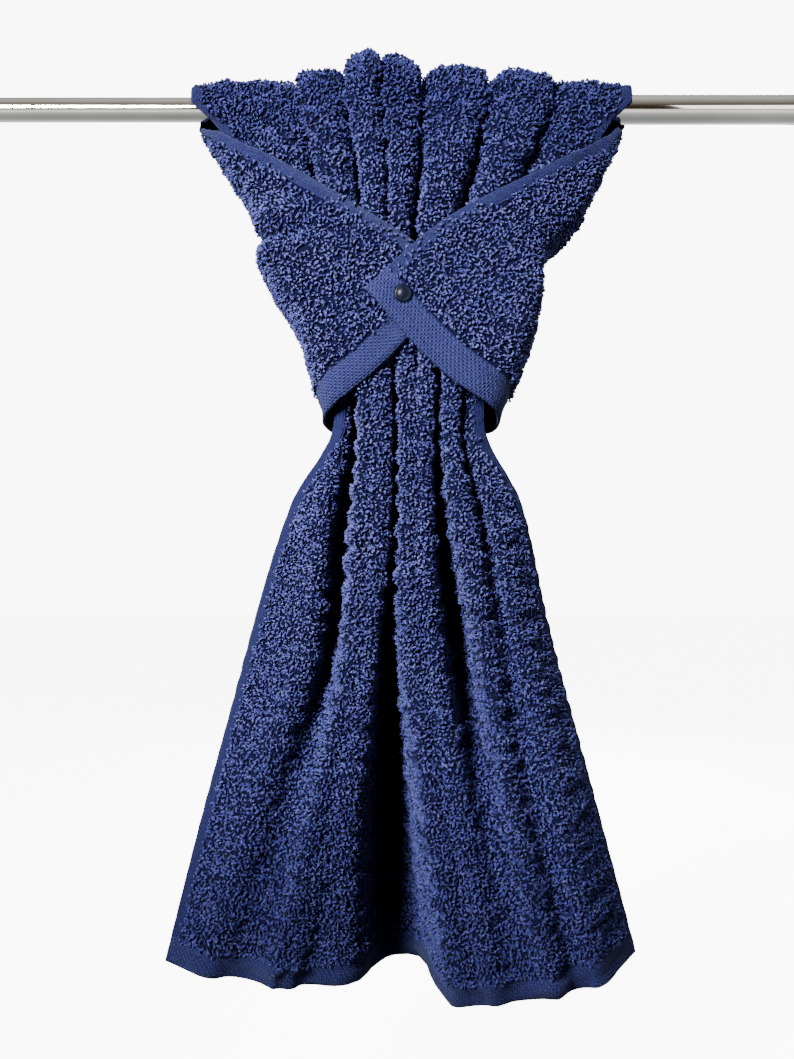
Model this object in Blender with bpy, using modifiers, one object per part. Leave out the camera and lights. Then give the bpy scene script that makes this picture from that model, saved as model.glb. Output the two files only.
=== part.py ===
"""Terry hand towel, gathered into a waist by its own back corners, hanging over a telescopic rail.

Units are metres. X runs along the rail to the right, +Y away from the viewer, +Z up.
The origin lies on the rail's axis, half way along the rail.
"""

import bmesh
import bpy
import numpy as np
from mathutils import Vector

MM = 0.001
WELD = 0.00001

# Rail: a thin tube that slides in a thicker one, with the step hidden under the towel.
RAIL_HALF_LENGTH = 0.330
RAIL_THIN_RADIUS = 0.0082
RAIL_THICK_RADIUS = 0.0100
RAIL_STEP_X = 0.012
RAIL_SOCKET_DEPTH = 0.045
RAIL_EDGE_ROUND = 0.0008
SLIDE_GAP = 0.0003
RAIL_SIDES = 40

# Towel, as cut: width across the rail, length over it.
TOWEL_WIDTH = 0.500
FRONT_DROP = 0.617
BACK_DROP = 0.218
CLOTH_THICKNESS = 0.0030
REST_GAP = 0.0004

# Mesh density of the towel, and the fineness of the searches and sums that shape it.
LAPEL_STEPS = 5
TURN_STEPS = 3
SIDE_STEPS = 4
FAN_STEPS = LAPEL_STEPS + TURN_STEPS + SIDE_STEPS
RIDGE_STEPS = 2
WALL_STEPS = 2
FRONT_ROWS = 22
ARC_ROWS = 8
BACK_ROWS = 13
BACK_ROW_CROWDING = 1.5
COLUMNS_SETTLE_BY = 0.060
CORNER_STEPS = 4
FIT_ROUNDS = 26
DEEPEST_FOLDS = 3.0
SLOPE_SAMPLES = 400
TINY = 1e-9

# Softness of the folds: how far a corner's rounding reaches along its two walls.
RIDGE_REACH = 0.009
GROOVE_REACH = 0.005
GROOVE_FLOOR_HALF = 0.0035
NARROW_MOUTH_HALF = 0.006
FLOOR_WIDENING = 0.4
WIDE_SOFTENING = 0.6
SIDE_REACH = 0.011
TURN_LEAN = 0.07
LAPEL_SAG = 0.012

# How far the groove bottoms slip sideways under a neighbouring ridge at the rail, g1 to g6.
GROOVE_LEAN = (0.011, 0.011, 0.0, -0.011, -0.011, -0.011)
LEAN_ENDS_AT = 0.080

# Share of the width that small creases take up on the rail, and the level where they have run out.
CREASED_SHARE = 0.11
CREASES_END_AT = 0.100

# Level below which the pleats of the back panel flatten towards its hem.
BACK_FLATTENS_FROM = 0.120

# Share of the slant of the side edges that lifts the hem's corners.
SLANT_LIFT = 0.45

# Front panel, a row for each level below the rail, in millimetres.
# drop: level below the rail. floor: Y of the deepest groove. left, right: X of the two side edges.
LEVELS = (
    # drop, floor, left, right
    (0.0, -12.4, -140.0, 160.0),
    (18.0, -10.0, -124.0, 144.5),
    (40.0, -7.0, -109.0, 133.0),
    (90.0, 3.0, -80.0, 104.0),
    (160.0, 15.0, -53.0, 77.0),
    (228.0, 20.0, -41.5, 58.0),
    (290.0, 22.0, -72.0, 85.0),
    (370.0, 38.0, -99.0, 105.0),
    (480.0, 60.0, -127.0, 134.0),
    (617.0, 84.0, -163.0, 172.0),
)

# X of the six grooves between the ridges, at the same levels, in millimetres.
GROOVE_X = (
    # g1, g2, g3, g4, g5, g6
    (-74.0, -40.0, -11.0, 22.0, 68.0, 112.0),
    (-68.0, -36.0, -9.0, 20.0, 62.0, 104.0),
    (-61.0, -31.0, -7.0, 18.0, 56.0, 94.0),
    (-49.0, -23.0, -7.0, 11.0, 40.0, 69.0),
    (-35.5, -18.5, -4.0, 13.0, 31.0, 52.0),
    (-28.5, -16.0, -1.0, 12.0, 26.5, 43.0),
    (-37.0, -19.0, -2.0, 14.0, 30.0, 57.0),
    (-45.0, -23.0, -6.0, 18.0, 42.0, 72.0),
    (-72.0, -45.0, -4.0, 34.0, 60.0, 92.0),
    (-110.0, -78.0, 4.0, 56.0, 88.0, 126.0),
)

# Half the width of each groove's mouth, in millimetres.
GROOVE_OPEN = (
    # g1, g2, g3, g4, g5, g6
    (4.5, 4.5, 4.5, 4.5, 5.5, 5.5),
    (4.5, 4.5, 4.5, 4.5, 5.5, 5.5),
    (4.5, 4.5, 4.0, 4.0, 5.5, 6.0),
    (4.0, 3.5, 3.5, 4.0, 4.5, 5.0),
    (4.0, 3.5, 4.0, 3.5, 4.0, 4.0),
    (4.0, 3.0, 4.0, 3.0, 4.0, 3.5),
    (6.0, 3.5, 4.0, 4.0, 6.0, 7.0),
    (10.0, 4.0, 7.0, 5.0, 11.0, 10.0),
    (12.0, 5.0, 17.0, 6.0, 11.0, 12.0),
    (14.0, 8.0, 34.0, 8.0, 12.0, 12.0),
)

# How far each groove's bottom stands in front of the floor, in millimetres.
GROOVE_LEVEL = (
    # g1, g2, g3, g4, g5, g6
    (0.0, 0.0, 0.0, 0.0, 0.0, 0.0),
    (0.0, 0.0, 0.0, 0.0, 0.0, 0.0),
    (0.0, 1.0, 0.0, 0.0, 0.0, 1.0),
    (0.0, 12.0, 0.0, 8.0, 0.0, 0.0),
    (0.0, 38.0, 0.0, 34.0, 0.0, 0.0),
    (0.0, 49.0, 0.0, 49.0, 0.0, 4.0),
    (0.0, 51.0, 0.0, 51.0, 2.0, 30.0),
    (26.0, 57.0, 0.0, 57.0, 14.0, 42.0),
    (44.0, 61.0, 0.0, 66.0, 48.0, 56.0),
    (66.0, 72.0, 0.0, 92.0, 86.0, 80.0),
)

# How far each ridge's face stands in front of the floor, in millimetres.
# The first and last columns are the side edges.
RIDGE_LEVEL = (
    # edge, left fan, r1, r2, r3, r4, r5, right fan, edge
    (2.0, 3.0, 12.0, 22.0, 20.0, 12.0, 10.0, 3.0, 2.0),
    (2.0, 7.0, 17.0, 23.0, 22.0, 17.0, 15.0, 7.0, 2.0),
    (3.0, 13.0, 22.0, 25.0, 25.0, 23.0, 20.0, 13.0, 3.0),
    (12.0, 26.0, 31.0, 32.0, 32.0, 31.0, 29.0, 25.0, 13.0),
    (31.0, 38.0, 45.0, 46.0, 46.0, 45.0, 42.0, 34.0, 28.0),
    (37.0, 41.0, 50.0, 50.0, 50.0, 50.0, 46.0, 39.0, 35.0),
    (26.0, 46.0, 52.0, 52.0, 52.0, 52.0, 50.0, 46.0, 28.0),
    (22.0, 54.0, 58.0, 58.0, 60.0, 58.0, 58.0, 54.0, 24.0),
    (42.0, 62.0, 64.0, 62.0, 72.0, 70.0, 72.0, 66.0, 32.0),
    (66.0, 78.0, 78.0, 62.0, 94.0, 96.0, 98.0, 88.0, 46.0),
)

# Back panel, a row for each level, in millimetres.
# side_left, side_right: X of the outline where the cloth turns round to the front.
# back, front: Y of the cloth behind and in front of the gathered pack at its sides.
WRAP_LEVELS = (
    # drop, side_left, side_right, back, front_left, front_right
    (0.0, -140.0, 160.0, 12.4, 12.4, 12.4),
    (9.0, -138.0, 158.0, 13.0, 12.0, 12.0),
    (16.0, -134.0, 155.0, 14.0, 0.0, 0.0),
    (24.0, -129.0, 151.5, 15.0, -12.0, -12.0),
    (44.0, -117.0, 141.0, 18.0, -26.0, -26.0),
    (86.0, -93.0, 119.0, 21.0, -36.0, -36.0),
    (108.0, -92.0, 98.0, 22.0, -40.0, -40.0),
    (126.0, -85.0, 97.0, 23.0, -42.0, -42.0),
    (160.0, -65.0, 91.0, 25.0, -44.0, -44.0),
    (218.0, -49.0, 68.5, 26.0, -42.0, -43.0),
)

# Free side edge of each lapel, in millimetres: along is the share of the back panel's drop.
LEFT_EDGE = (
    # along, x, y, z
    (0.00, -140.0, 12.4, 0.0),
    (0.05, -135.5, 10.0, -10.5),
    (0.10, -128.0, -8.0, -17.5),
    (0.15, -120.0, -19.5, -22.0),
    (0.20, -110.5, -27.0, -29.0),
    (0.35, -78.0, -38.0, -47.0),
    (0.70, -8.0, -45.0, -90.0),
    (1.00, 41.0, -42.0, -122.0),
)
RIGHT_EDGE = (
    # along, x, y, z
    (0.00, 160.0, 12.4, 0.0),
    (0.05, 157.0, 8.0, -10.5),
    (0.10, 150.0, -8.0, -17.5),
    (0.15, 142.0, -19.5, -25.0),
    (0.20, 133.0, -27.0, -32.0),
    (0.35, 102.0, -40.0, -50.0),
    (0.70, 30.0, -49.0, -90.0),
    (1.00, -20.0, -53.0, -134.0),
)

# Popper: a domed cap on the right lapel, close to its corner.
# Its place is a share of the back panel's drop and a distance from the lapel's free edge.
POPPER_ALONG = 0.93
POPPER_INSET = 0.020
SEAT_PROBE = 0.004
POPPER_RADIUS = 0.0060
POPPER_RIM_HEIGHT = 0.0008
POPPER_DOME_HEIGHT = 0.0026
POPPER_SIDES = 32
DOME_STEPS = 6

COLOURS = {
    # name: (colour, roughness, metallic)
    "towel": ((0.020, 0.030, 0.110, 1.0), 0.95, 0.0),
    "rail": ((0.80, 0.80, 0.80, 1.0), 0.08, 1.0),
    "popper": ((0.008, 0.016, 0.040, 1.0), 0.25, 0.0),
}


def clear_scene():
    """Remove the objects that are already there."""
    for item in list(bpy.data.objects):
        bpy.data.objects.remove(item, do_unlink=True)


def curve_through(places, values, at):
    """Smooth, overshoot-free curve through a table's rows, read at one or more places."""
    places = np.asarray(places, float)
    values = np.asarray(values, float)
    at = np.clip(np.atleast_1d(at), places[0], places[-1])
    step = np.diff(places)[:, None]
    slope = np.diff(values, axis=0) / step
    tangent = np.zeros_like(values)
    tangent[0] = slope[0]
    tangent[-1] = slope[-1]
    same_way = slope[:-1] * slope[1:] > 0
    mean = 2 * slope[:-1] * slope[1:] / np.where(same_way, slope[:-1] + slope[1:], 1.0)
    tangent[1:-1] = np.where(same_way, mean, 0.0)
    piece = np.clip(np.searchsorted(places, at, side="right") - 1, 0, len(places) - 2)
    width = step[piece]
    part = ((at - places[piece]) / width[:, 0])[:, None]
    return (
        (1 + 2 * part) * (1 - part) ** 2 * values[piece]
        + part * (1 - part) ** 2 * width * tangent[piece]
        + part ** 2 * (3 - 2 * part) * values[piece + 1]
        + part ** 2 * (part - 1) * width * tangent[piece + 1]
    )


def table_row(levels, table, drop):
    """Read one table of millimetres at a level below the rail, in metres."""
    places = np.array([row[0] for row in levels]) * MM
    return curve_through(places, np.array(table) * MM, drop)[0]


def soften(corners, reaches):
    """Round the corners of an open path. Each corner's reach is a pair: before and after it."""
    path = [corners[0]]
    for before, here, after, reach in zip(corners[:-2], corners[1:-1], corners[2:], reaches[1:-1]):
        back = before - here
        ahead = after - here
        start = here + back * min(reach[0] / max(np.linalg.norm(back), TINY), 0.5)
        end = here + ahead * min(reach[1] / max(np.linalg.norm(ahead), TINY), 0.5)
        for part in np.linspace(0.0, 1.0, CORNER_STEPS + 1):
            path.append((1 - part) ** 2 * start + 2 * part * (1 - part) * here + part ** 2 * end)
    path.append(corners[-1])
    return np.array(path)


def lengths_along(path):
    """Distance of each point of a path from its start, measured along it."""
    steps = np.linalg.norm(np.diff(path, axis=0), axis=1)
    return np.concatenate(([0.0], np.cumsum(steps)))


def smooth_share(value, end):
    """Rise from 0 to 1 between zero and an end value, level at both."""
    share = min(value / end, 1.0)
    return share * share * (3 - 2 * share)


def fit_to_width(make_path, drop):
    """Depth of the folds at which a row uses the towel's width."""
    width = TOWEL_WIDTH * (1 - CREASED_SHARE * (1 - smooth_share(drop, CREASES_END_AT)))
    shallow, deep = 0.0, DEEPEST_FOLDS
    for _ in range(FIT_ROUNDS):
        middle = (shallow + deep) / 2
        if lengths_along(make_path(middle))[-1] < width:
            shallow = middle
        else:
            deep = middle
    return (shallow + deep) / 2


def fold_corners(xs, opens, bottoms, ridges, leans, left, right):
    """Corners of one pleated row as (x, height) pairs, and the reach of each."""
    corners = [(left, ridges[0])]
    reaches = [(0.0, 0.0)]
    for index, (x, half, bottom, lean) in enumerate(zip(xs, opens, bottoms, leans)):
        widening = max(half - NARROW_MOUTH_HALF, 0.0) * FLOOR_WIDENING
        floor_half = min(GROOVE_FLOOR_HALF + widening, half)
        corners += [
            (x - half, ridges[index + 1]),
            (x + lean - floor_half, bottom),
            (x + lean + floor_half, bottom),
            (x + half, ridges[index + 2]),
        ]
        wide = RIDGE_REACH + half * WIDE_SOFTENING
        tight = GROOVE_REACH + half * WIDE_SOFTENING
        reaches += [(wide, wide), (tight, tight), (tight, tight), (wide, wide)]
    corners.append((right, ridges[-1]))
    reaches.append((0.0, 0.0))
    return np.array(corners), reaches


def side_slopes():
    """Running sums of the side edges' slopes, which lift the hem's corners."""
    drops = np.linspace(0.0, FRONT_DROP, SLOPE_SAMPLES)
    edges = np.array([table_row(LEVELS, LEVELS, drop)[2:4] for drop in drops])
    slopes = np.gradient(edges, drops, axis=0)
    step = drops[1] - drops[0]
    products = np.stack([slopes[:, 0] ** 2, slopes[:, 0] * slopes[:, 1], slopes[:, 1] ** 2], axis=1)
    return drops, np.cumsum(products, axis=0) * step / 2


SLANT_DROPS, SLANT_SUMS = side_slopes()


def pleat_leans(drop):
    """Sideways slip of each groove's bottom, which fades out below the rail."""
    return np.array(GROOVE_LEAN) * (1 - smooth_share(drop, LEAN_ENDS_AT))


def front_path(drop):
    """One pleated row of the front panel as (x, height) pairs, with its distances along the cloth."""
    left, right = table_row(LEVELS, LEVELS, drop)[2:4]
    corners, reaches = fold_corners(
        table_row(LEVELS, GROOVE_X, drop),
        table_row(LEVELS, GROOVE_OPEN, drop),
        table_row(LEVELS, GROOVE_LEVEL, drop),
        table_row(LEVELS, RIDGE_LEVEL, drop),
        pleat_leans(drop),
        left,
        right,
    )
    depth = fit_to_width(lambda trial: soften(corners * (1.0, trial), reaches), drop)
    path = soften(corners * (1.0, depth), reaches)
    along = lengths_along(path)
    return path, along * TOWEL_WIDTH / along[-1]


def fold_places(along):
    """Distance along a softened row of the middle of each of its corners."""
    first = 1 + CORNER_STEPS // 2
    return along[first :: CORNER_STEPS + 1]


def spread(places, steps):
    """Evenly share each stretch between two places."""
    parts = [np.linspace(a, b, n, endpoint=False) for a, b, n in zip(places[:-1], places[1:], steps)]
    return np.concatenate((*parts, [places[-1]]))


def front_columns(drop):
    """Where the columns cross one row: on the folds' corners, and evenly between them."""
    places = fold_places(front_path(drop)[1])
    groove = (WALL_STEPS, 1, WALL_STEPS)
    steps = [FAN_STEPS, *(groove + (RIDGE_STEPS,)) * 5, *groove, FAN_STEPS]
    return spread(np.concatenate(([0.0], places, [TOWEL_WIDTH])), steps)


def front_row(drop, columns):
    """Points of the front panel at one level below the rail."""
    _, floor, left, right = table_row(LEVELS, LEVELS, drop)
    path, along = front_path(drop)
    x = np.interp(columns, along, path[:, 0])
    height = np.interp(columns, along, path[:, 1])
    share = (x - left) / (right - left)
    sums = [np.interp(drop, SLANT_DROPS, SLANT_SUMS[:, index]) for index in range(3)]
    lift = (1 - share) ** 2 * sums[0] + 2 * share * (1 - share) * sums[1] + share ** 2 * sums[2]
    z = -drop + SLANT_LIFT * lift
    return np.stack([x, floor - height, z], axis=1)


def arc_row(turn, columns):
    """Points of the cloth over the rail, turned by an angle from the front."""
    start = front_row(0.0, columns)
    radius = -start[:, 1]
    return np.stack([start[:, 0], -radius * np.cos(turn), radius * np.sin(turn)], axis=1)


def lapel_corners(edge_table, along, side, front, back, drop, lean):
    """One lapel's row, from its free edge to the back: edge, sagging middle, and two side corners."""
    edge = curve_through([row[0] for row in edge_table], [row[1:] for row in edge_table], along)[0] * MM
    turn_front = np.array([side, front, -drop + lean])
    turn_back = np.array([side, back, -drop - lean])
    middle = (edge + turn_front) / 2 - np.array([0.0, 0.0, LAPEL_SAG * along ** 2])
    return [edge, middle, turn_front, turn_back]


def back_path(drop):
    """One row of the back panel, with its two ends brought round to the front, and its distances."""
    levels = table_row(WRAP_LEVELS, WRAP_LEVELS, drop)
    _, side_left, side_right, back, front_left, front_right = levels
    along = drop / BACK_DROP
    half_depth = (back - front_left) / 2
    lean = 2 * half_depth * TURN_LEAN
    left = lapel_corners(LEFT_EDGE, along, side_left, front_left, back, drop, lean)
    right = lapel_corners(RIGHT_EDGE, along, side_right, front_right, back, drop, lean)
    top_left, top_right = table_row(LEVELS, LEVELS, 0.0)[2:4]
    scale = (side_right - side_left) / (top_right - top_left)
    corners, reaches = fold_corners(
        (table_row(LEVELS, GROOVE_X, 0.0) - top_left) * scale + side_left,
        table_row(LEVELS, GROOVE_OPEN, 0.0),
        table_row(LEVELS, GROOVE_LEVEL, 0.0),
        table_row(LEVELS, RIDGE_LEVEL, 0.0),
        pleat_leans(drop),
        side_left,
        side_right,
    )
    across = min(SIDE_REACH, half_depth)
    loose = (1.0, 1.0)

    def path(depth):
        behind = np.full(len(corners) - 2, -drop - lean)
        middle = np.stack([corners[1:-1, 0], back + depth * corners[1:-1, 1], behind], axis=1)
        whole = np.vstack([left, middle, right[::-1]])
        reach = [(0.0, 0.0), loose, (across, half_depth), (half_depth, across)]
        return soften(whole, reach + reaches[1:-1] + [pair[::-1] for pair in reach[::-1]])

    flattened = smooth_share(max(drop - BACK_FLATTENS_FROM, 0.0), BACK_DROP - BACK_FLATTENS_FROM)
    line = path(fit_to_width(path, drop) * (1 - flattened))
    distance = lengths_along(line)
    return line, distance * TOWEL_WIDTH / distance[-1]


def back_columns(drop):
    """Columns that leave the rail's places and settle on the folds of the back panel."""
    places = fold_places(back_path(drop)[1])
    places = np.concatenate(([0.0], places[1:-1], [TOWEL_WIDTH]))
    groove = (WALL_STEPS, 1, WALL_STEPS)
    side = [LAPEL_STEPS, TURN_STEPS, SIDE_STEPS]
    steps = [*side, *(groove + (RIDGE_STEPS,)) * 5, *groove, *side[::-1]]
    settled = spread(places, steps)
    share = smooth_share(drop, COLUMNS_SETTLE_BY)
    return front_columns(0.0) * (1 - share) + settled * share


def back_row(drop, columns):
    """Points of the back panel at one level."""
    line, distance = back_path(drop)
    return np.stack([np.interp(columns, distance, line[:, axis]) for axis in range(3)], axis=1)


def towel_rows():
    """All rows of the towel from the front hem, over the rail, to the back hem."""
    drops = np.linspace(FRONT_DROP, 0.0, FRONT_ROWS + 1)
    rows = [front_row(drop, front_columns(drop)) for drop in drops]
    columns = front_columns(0.0)
    rows += [arc_row(np.pi * turn / ARC_ROWS, columns) for turn in range(1, ARC_ROWS)]
    shares = np.linspace(0.0, 1.0, BACK_ROWS + 1) ** BACK_ROW_CROWDING
    rows += [back_row(drop, back_columns(drop)) for drop in BACK_DROP * shares]
    return rows


def make_material(name):
    """One Principled material from the colour table."""
    colour, roughness, metallic = COLOURS[name]
    material = bpy.data.materials.new(name)
    material.use_nodes = True
    shader = material.node_tree.nodes["Principled BSDF"]
    shader.inputs["Base Color"].default_value = colour
    shader.inputs["Roughness"].default_value = roughness
    shader.inputs["Metallic"].default_value = metallic
    return material


def add_object(name, mesh, material, collection):
    """Link a mesh as a named object."""
    item = bpy.data.objects.new(name, mesh)
    mesh.materials.append(material)
    collection.objects.link(item)
    return item


def make_towel(collection, material):
    """One sheet of terry, lofted through its rows and given its thickness."""
    sheet = bmesh.new()
    grid = [[sheet.verts.new(point) for point in row] for row in towel_rows()]
    for lower, upper in zip(grid[:-1], grid[1:]):
        for index in range(len(lower) - 1):
            sheet.faces.new((lower[index], lower[index + 1], upper[index + 1], upper[index]))
    mesh = bpy.data.meshes.new("towel")
    sheet.to_mesh(mesh)
    sheet.free()
    mesh.shade_smooth()
    towel = add_object("towel", mesh, material, collection)
    shell = towel.modifiers.new("thickness", "SOLIDIFY")
    shell.thickness = CLOTH_THICKNESS
    shell.offset = 0.0
    return towel


def make_turned(name, profile, sides, material, collection):
    """A solid turned round the X axis from (x, radius) pairs that start and end on the axis."""
    outline = bmesh.new()
    points = [outline.verts.new((x, 0.0, radius)) for x, radius in profile]
    for start, end in zip(points[:-1], points[1:]):
        outline.edges.new((start, end))
    mesh = bpy.data.meshes.new(name)
    outline.to_mesh(mesh)
    outline.free()
    item = add_object(name, mesh, material, collection)
    turning = item.modifiers.new("turning", "SCREW")
    turning.axis = "X"
    turning.steps = sides
    turning.render_steps = sides
    turning.use_merge_vertices = True
    turning.merge_threshold = WELD
    turning.use_normal_flip = True
    return item


def make_rail(collection, material):
    """The thin tube, and the thicker tube with the socket that it slides in."""
    reach = RAIL_STEP_X + RAIL_SOCKET_DEPTH
    make_turned(
        "rail_thin",
        (
            (-RAIL_HALF_LENGTH, 0.0),
            (-RAIL_HALF_LENGTH, RAIL_THIN_RADIUS - RAIL_EDGE_ROUND),
            (-RAIL_HALF_LENGTH + RAIL_EDGE_ROUND, RAIL_THIN_RADIUS),
            (reach - SLIDE_GAP, RAIL_THIN_RADIUS),
            (reach - SLIDE_GAP, 0.0),
        ),
        RAIL_SIDES,
        material,
        collection,
    )
    bore = RAIL_THIN_RADIUS + SLIDE_GAP
    make_turned(
        "rail_thick",
        (
            (reach, 0.0),
            (reach, bore),
            (RAIL_STEP_X, bore),
            (RAIL_STEP_X, RAIL_THICK_RADIUS),
            (RAIL_HALF_LENGTH - RAIL_EDGE_ROUND, RAIL_THICK_RADIUS),
            (RAIL_HALF_LENGTH, RAIL_THICK_RADIUS - RAIL_EDGE_ROUND),
            (RAIL_HALF_LENGTH, 0.0),
        ),
        RAIL_SIDES,
        material,
        collection,
    )


def popper_seat():
    """Centre and outward direction of the cloth under the popper."""
    drop = POPPER_ALONG * BACK_DROP
    across = TOWEL_WIDTH - POPPER_INSET
    here = back_row(drop, np.array([across - SEAT_PROBE, across, across + SEAT_PROBE]))
    below = back_row(drop + SEAT_PROBE, np.array([across]))[0]
    normal = Vector(here[2] - here[0]).cross(Vector(below - here[1])).normalized()
    if normal.y > 0:
        normal.negate()
    return Vector(here[1]), normal


def make_popper(collection, material):
    """Domed cap of the popper, seated on the right lapel."""
    profile = [(0.0, 0.0), (0.0, POPPER_RADIUS), (POPPER_RIM_HEIGHT, POPPER_RADIUS)]
    for step in range(1, DOME_STEPS):
        angle = np.pi / 2 * step / DOME_STEPS
        height = POPPER_RIM_HEIGHT + (POPPER_DOME_HEIGHT - POPPER_RIM_HEIGHT) * np.sin(angle)
        profile.append((height, POPPER_RADIUS * np.cos(angle)))
    profile.append((POPPER_DOME_HEIGHT, 0.0))
    cap = make_turned("popper_cap", profile, POPPER_SIDES, material, collection)
    centre, normal = popper_seat()
    cap.location = centre + normal * (CLOTH_THICKNESS / 2 + REST_GAP)
    cap.rotation_euler = normal.to_track_quat("X", "Z").to_euler()
    return cap


def main():
    clear_scene()
    collection = bpy.data.collections.new("hand_towel_on_rail")
    bpy.context.scene.collection.children.link(collection)
    materials = {name: make_material(name) for name in COLOURS}
    make_rail(collection, materials["rail"])
    make_towel(collection, materials["towel"])
    make_popper(collection, materials["popper"])


main()
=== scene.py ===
# %% [markdown]
# # A navy hand towel on a telescopic rail
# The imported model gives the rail, the draped towel and the popper as plain solids.
# This lesson dresses them: a finer cloth with woven hems, its looped pile, its stitches,
# polished tubes and a glossy popper. Lengths are in metres, and in millimetres in the tables of
# the folds, all in the solids' own frame.

# %% Load the frame
import math

import bpy
import numpy as np
from mathutils import Matrix, Vector


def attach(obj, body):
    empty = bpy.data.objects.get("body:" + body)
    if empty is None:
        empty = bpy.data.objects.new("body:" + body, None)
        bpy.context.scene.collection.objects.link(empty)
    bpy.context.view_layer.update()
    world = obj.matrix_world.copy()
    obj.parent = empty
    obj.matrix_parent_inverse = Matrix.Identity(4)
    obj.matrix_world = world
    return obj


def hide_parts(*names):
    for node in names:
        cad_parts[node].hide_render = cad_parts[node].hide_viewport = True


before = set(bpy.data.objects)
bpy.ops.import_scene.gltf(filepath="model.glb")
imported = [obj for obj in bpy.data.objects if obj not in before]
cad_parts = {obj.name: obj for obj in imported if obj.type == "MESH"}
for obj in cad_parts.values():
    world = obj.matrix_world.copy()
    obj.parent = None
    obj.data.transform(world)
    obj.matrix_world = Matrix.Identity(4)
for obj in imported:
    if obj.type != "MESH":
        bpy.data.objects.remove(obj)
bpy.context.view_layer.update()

# %% [markdown]
# The camera comes first, because it settles what is worth modelling. It stands 0.8 m in front
# of the rail, level and about half way down the towel, as in the photograph, so the tops of the
# pleats are seen from below and the hem from above.

# %% Camera
CAMERA_AT = (0.0, -0.80, -0.2913)
FOCAL_SHARE = 1152 / 1059
SENSOR_HEIGHT = 36.0

lens = bpy.data.cameras.new("camera")
lens.sensor_fit = "VERTICAL"
lens.sensor_height = SENSOR_HEIGHT
lens.lens = SENSOR_HEIGHT * FOCAL_SHARE
camera = bpy.data.objects.new("camera", lens)
camera.location = CAMERA_AT
camera.rotation_euler = (math.pi / 2, 0.0, 0.0)
bpy.context.scene.collection.objects.link(camera)
bpy.context.scene.camera = camera
print("lens", round(lens.lens, 2), "mm")

# %% [markdown]
# ## The shape of the drape
# A towel in folds keeps its width: each row across it is one pleated line, 0.5 m long, or a
# little less near the rail, where small creases that aren't drawn take up cloth. So each row is
# drawn as ridges and grooves, and the folds are deepened until the line is long enough.
# The tables say where the folds lie at a few levels below the rail, and a smooth curve through
# each column gives every level between them. A simulation would find folds of its own. Tables
# keep the folds that this towel has.

# %% Sizes of the towel
MM = 0.001
TOWEL_WIDTH = 0.500
FRONT_DROP = 0.617
BACK_DROP = 0.218
RAIL_REACH = 0.039
CLOTH_LENGTH = FRONT_DROP + RAIL_REACH + BACK_DROP
END_HEM = 0.020
SIDE_HEM = 0.0085

# Front panel, in millimetres: the Y of the deepest groove, and the X of the two side edges.
LEVELS = (
    # drop, floor, left, right
    (0.0, -12.4, -140.0, 160.0),
    (18.0, -10.0, -124.0, 144.5),
    (40.0, -7.0, -109.0, 133.0),
    (90.0, 3.0, -80.0, 104.0),
    (160.0, 15.0, -53.0, 77.0),
    (228.0, 20.0, -41.5, 58.0),
    (290.0, 22.0, -72.0, 85.0),
    (370.0, 38.0, -99.0, 105.0),
    (480.0, 60.0, -127.0, 134.0),
    (617.0, 84.0, -163.0, 172.0),
)

# X of the six grooves at the same levels.
GROOVE_X = (
    # g1, g2, g3, g4, g5, g6
    (-74.0, -40.0, -11.0, 22.0, 68.0, 112.0),
    (-68.0, -36.0, -9.0, 20.0, 62.0, 104.0),
    (-61.0, -31.0, -7.0, 18.0, 56.0, 94.0),
    (-49.0, -23.0, -7.0, 11.0, 40.0, 69.0),
    (-35.5, -18.5, -4.0, 13.0, 31.0, 52.0),
    (-28.5, -16.0, -1.0, 12.0, 26.5, 43.0),
    (-37.0, -19.0, -2.0, 14.0, 30.0, 57.0),
    (-45.0, -23.0, -6.0, 18.0, 42.0, 72.0),
    (-72.0, -45.0, -4.0, 34.0, 60.0, 92.0),
    (-110.0, -78.0, 4.0, 56.0, 88.0, 126.0),
)

# Half the width of each groove's mouth.
GROOVE_OPEN = (
    # g1, g2, g3, g4, g5, g6
    (4.5, 4.5, 2.8, 4.5, 5.5, 5.5),
    (4.5, 4.5, 2.8, 4.5, 5.5, 5.5),
    (5.5, 5.5, 3.4, 5.5, 7.0, 7.0),
    (5.0, 5.0, 3.5, 5.5, 7.0, 7.0),
    (4.0, 3.5, 4.0, 3.5, 4.0, 4.0),
    (5.0, 3.0, 4.5, 3.0, 5.0, 3.5),
    (9.0, 3.5, 5.0, 4.0, 8.5, 7.0),
    (11.0, 4.0, 10.5, 5.0, 14.0, 10.0),
    (17.0, 5.0, 23.0, 6.0, 15.0, 14.0),
    (22.0, 8.0, 34.0, 8.0, 18.0, 14.0),
)

# How far each groove's bottom stands in front of the floor.
GROOVE_LEVEL = (
    # g1, g2, g3, g4, g5, g6
    (0.0, 0.0, 0.0, 0.0, 0.0, 0.0),
    (0.0, 0.0, 0.0, 0.0, 0.0, 0.0),
    (0.0, 1.0, 0.0, 0.0, 0.0, 1.0),
    (0.0, 12.0, 0.0, 8.0, 0.0, 0.0),
    (0.0, 38.0, 0.0, 34.0, 0.0, 0.0),
    (0.0, 49.0, 0.0, 49.0, 0.0, 4.0),
    (0.0, 51.0, 0.0, 51.0, 2.0, 30.0),
    (18.0, 57.0, 0.0, 57.0, 10.0, 44.0),
    (50.0, 62.0, 0.0, 68.0, 56.0, 60.0),
    (68.0, 74.0, 0.0, 93.0, 90.0, 84.0),
)

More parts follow.
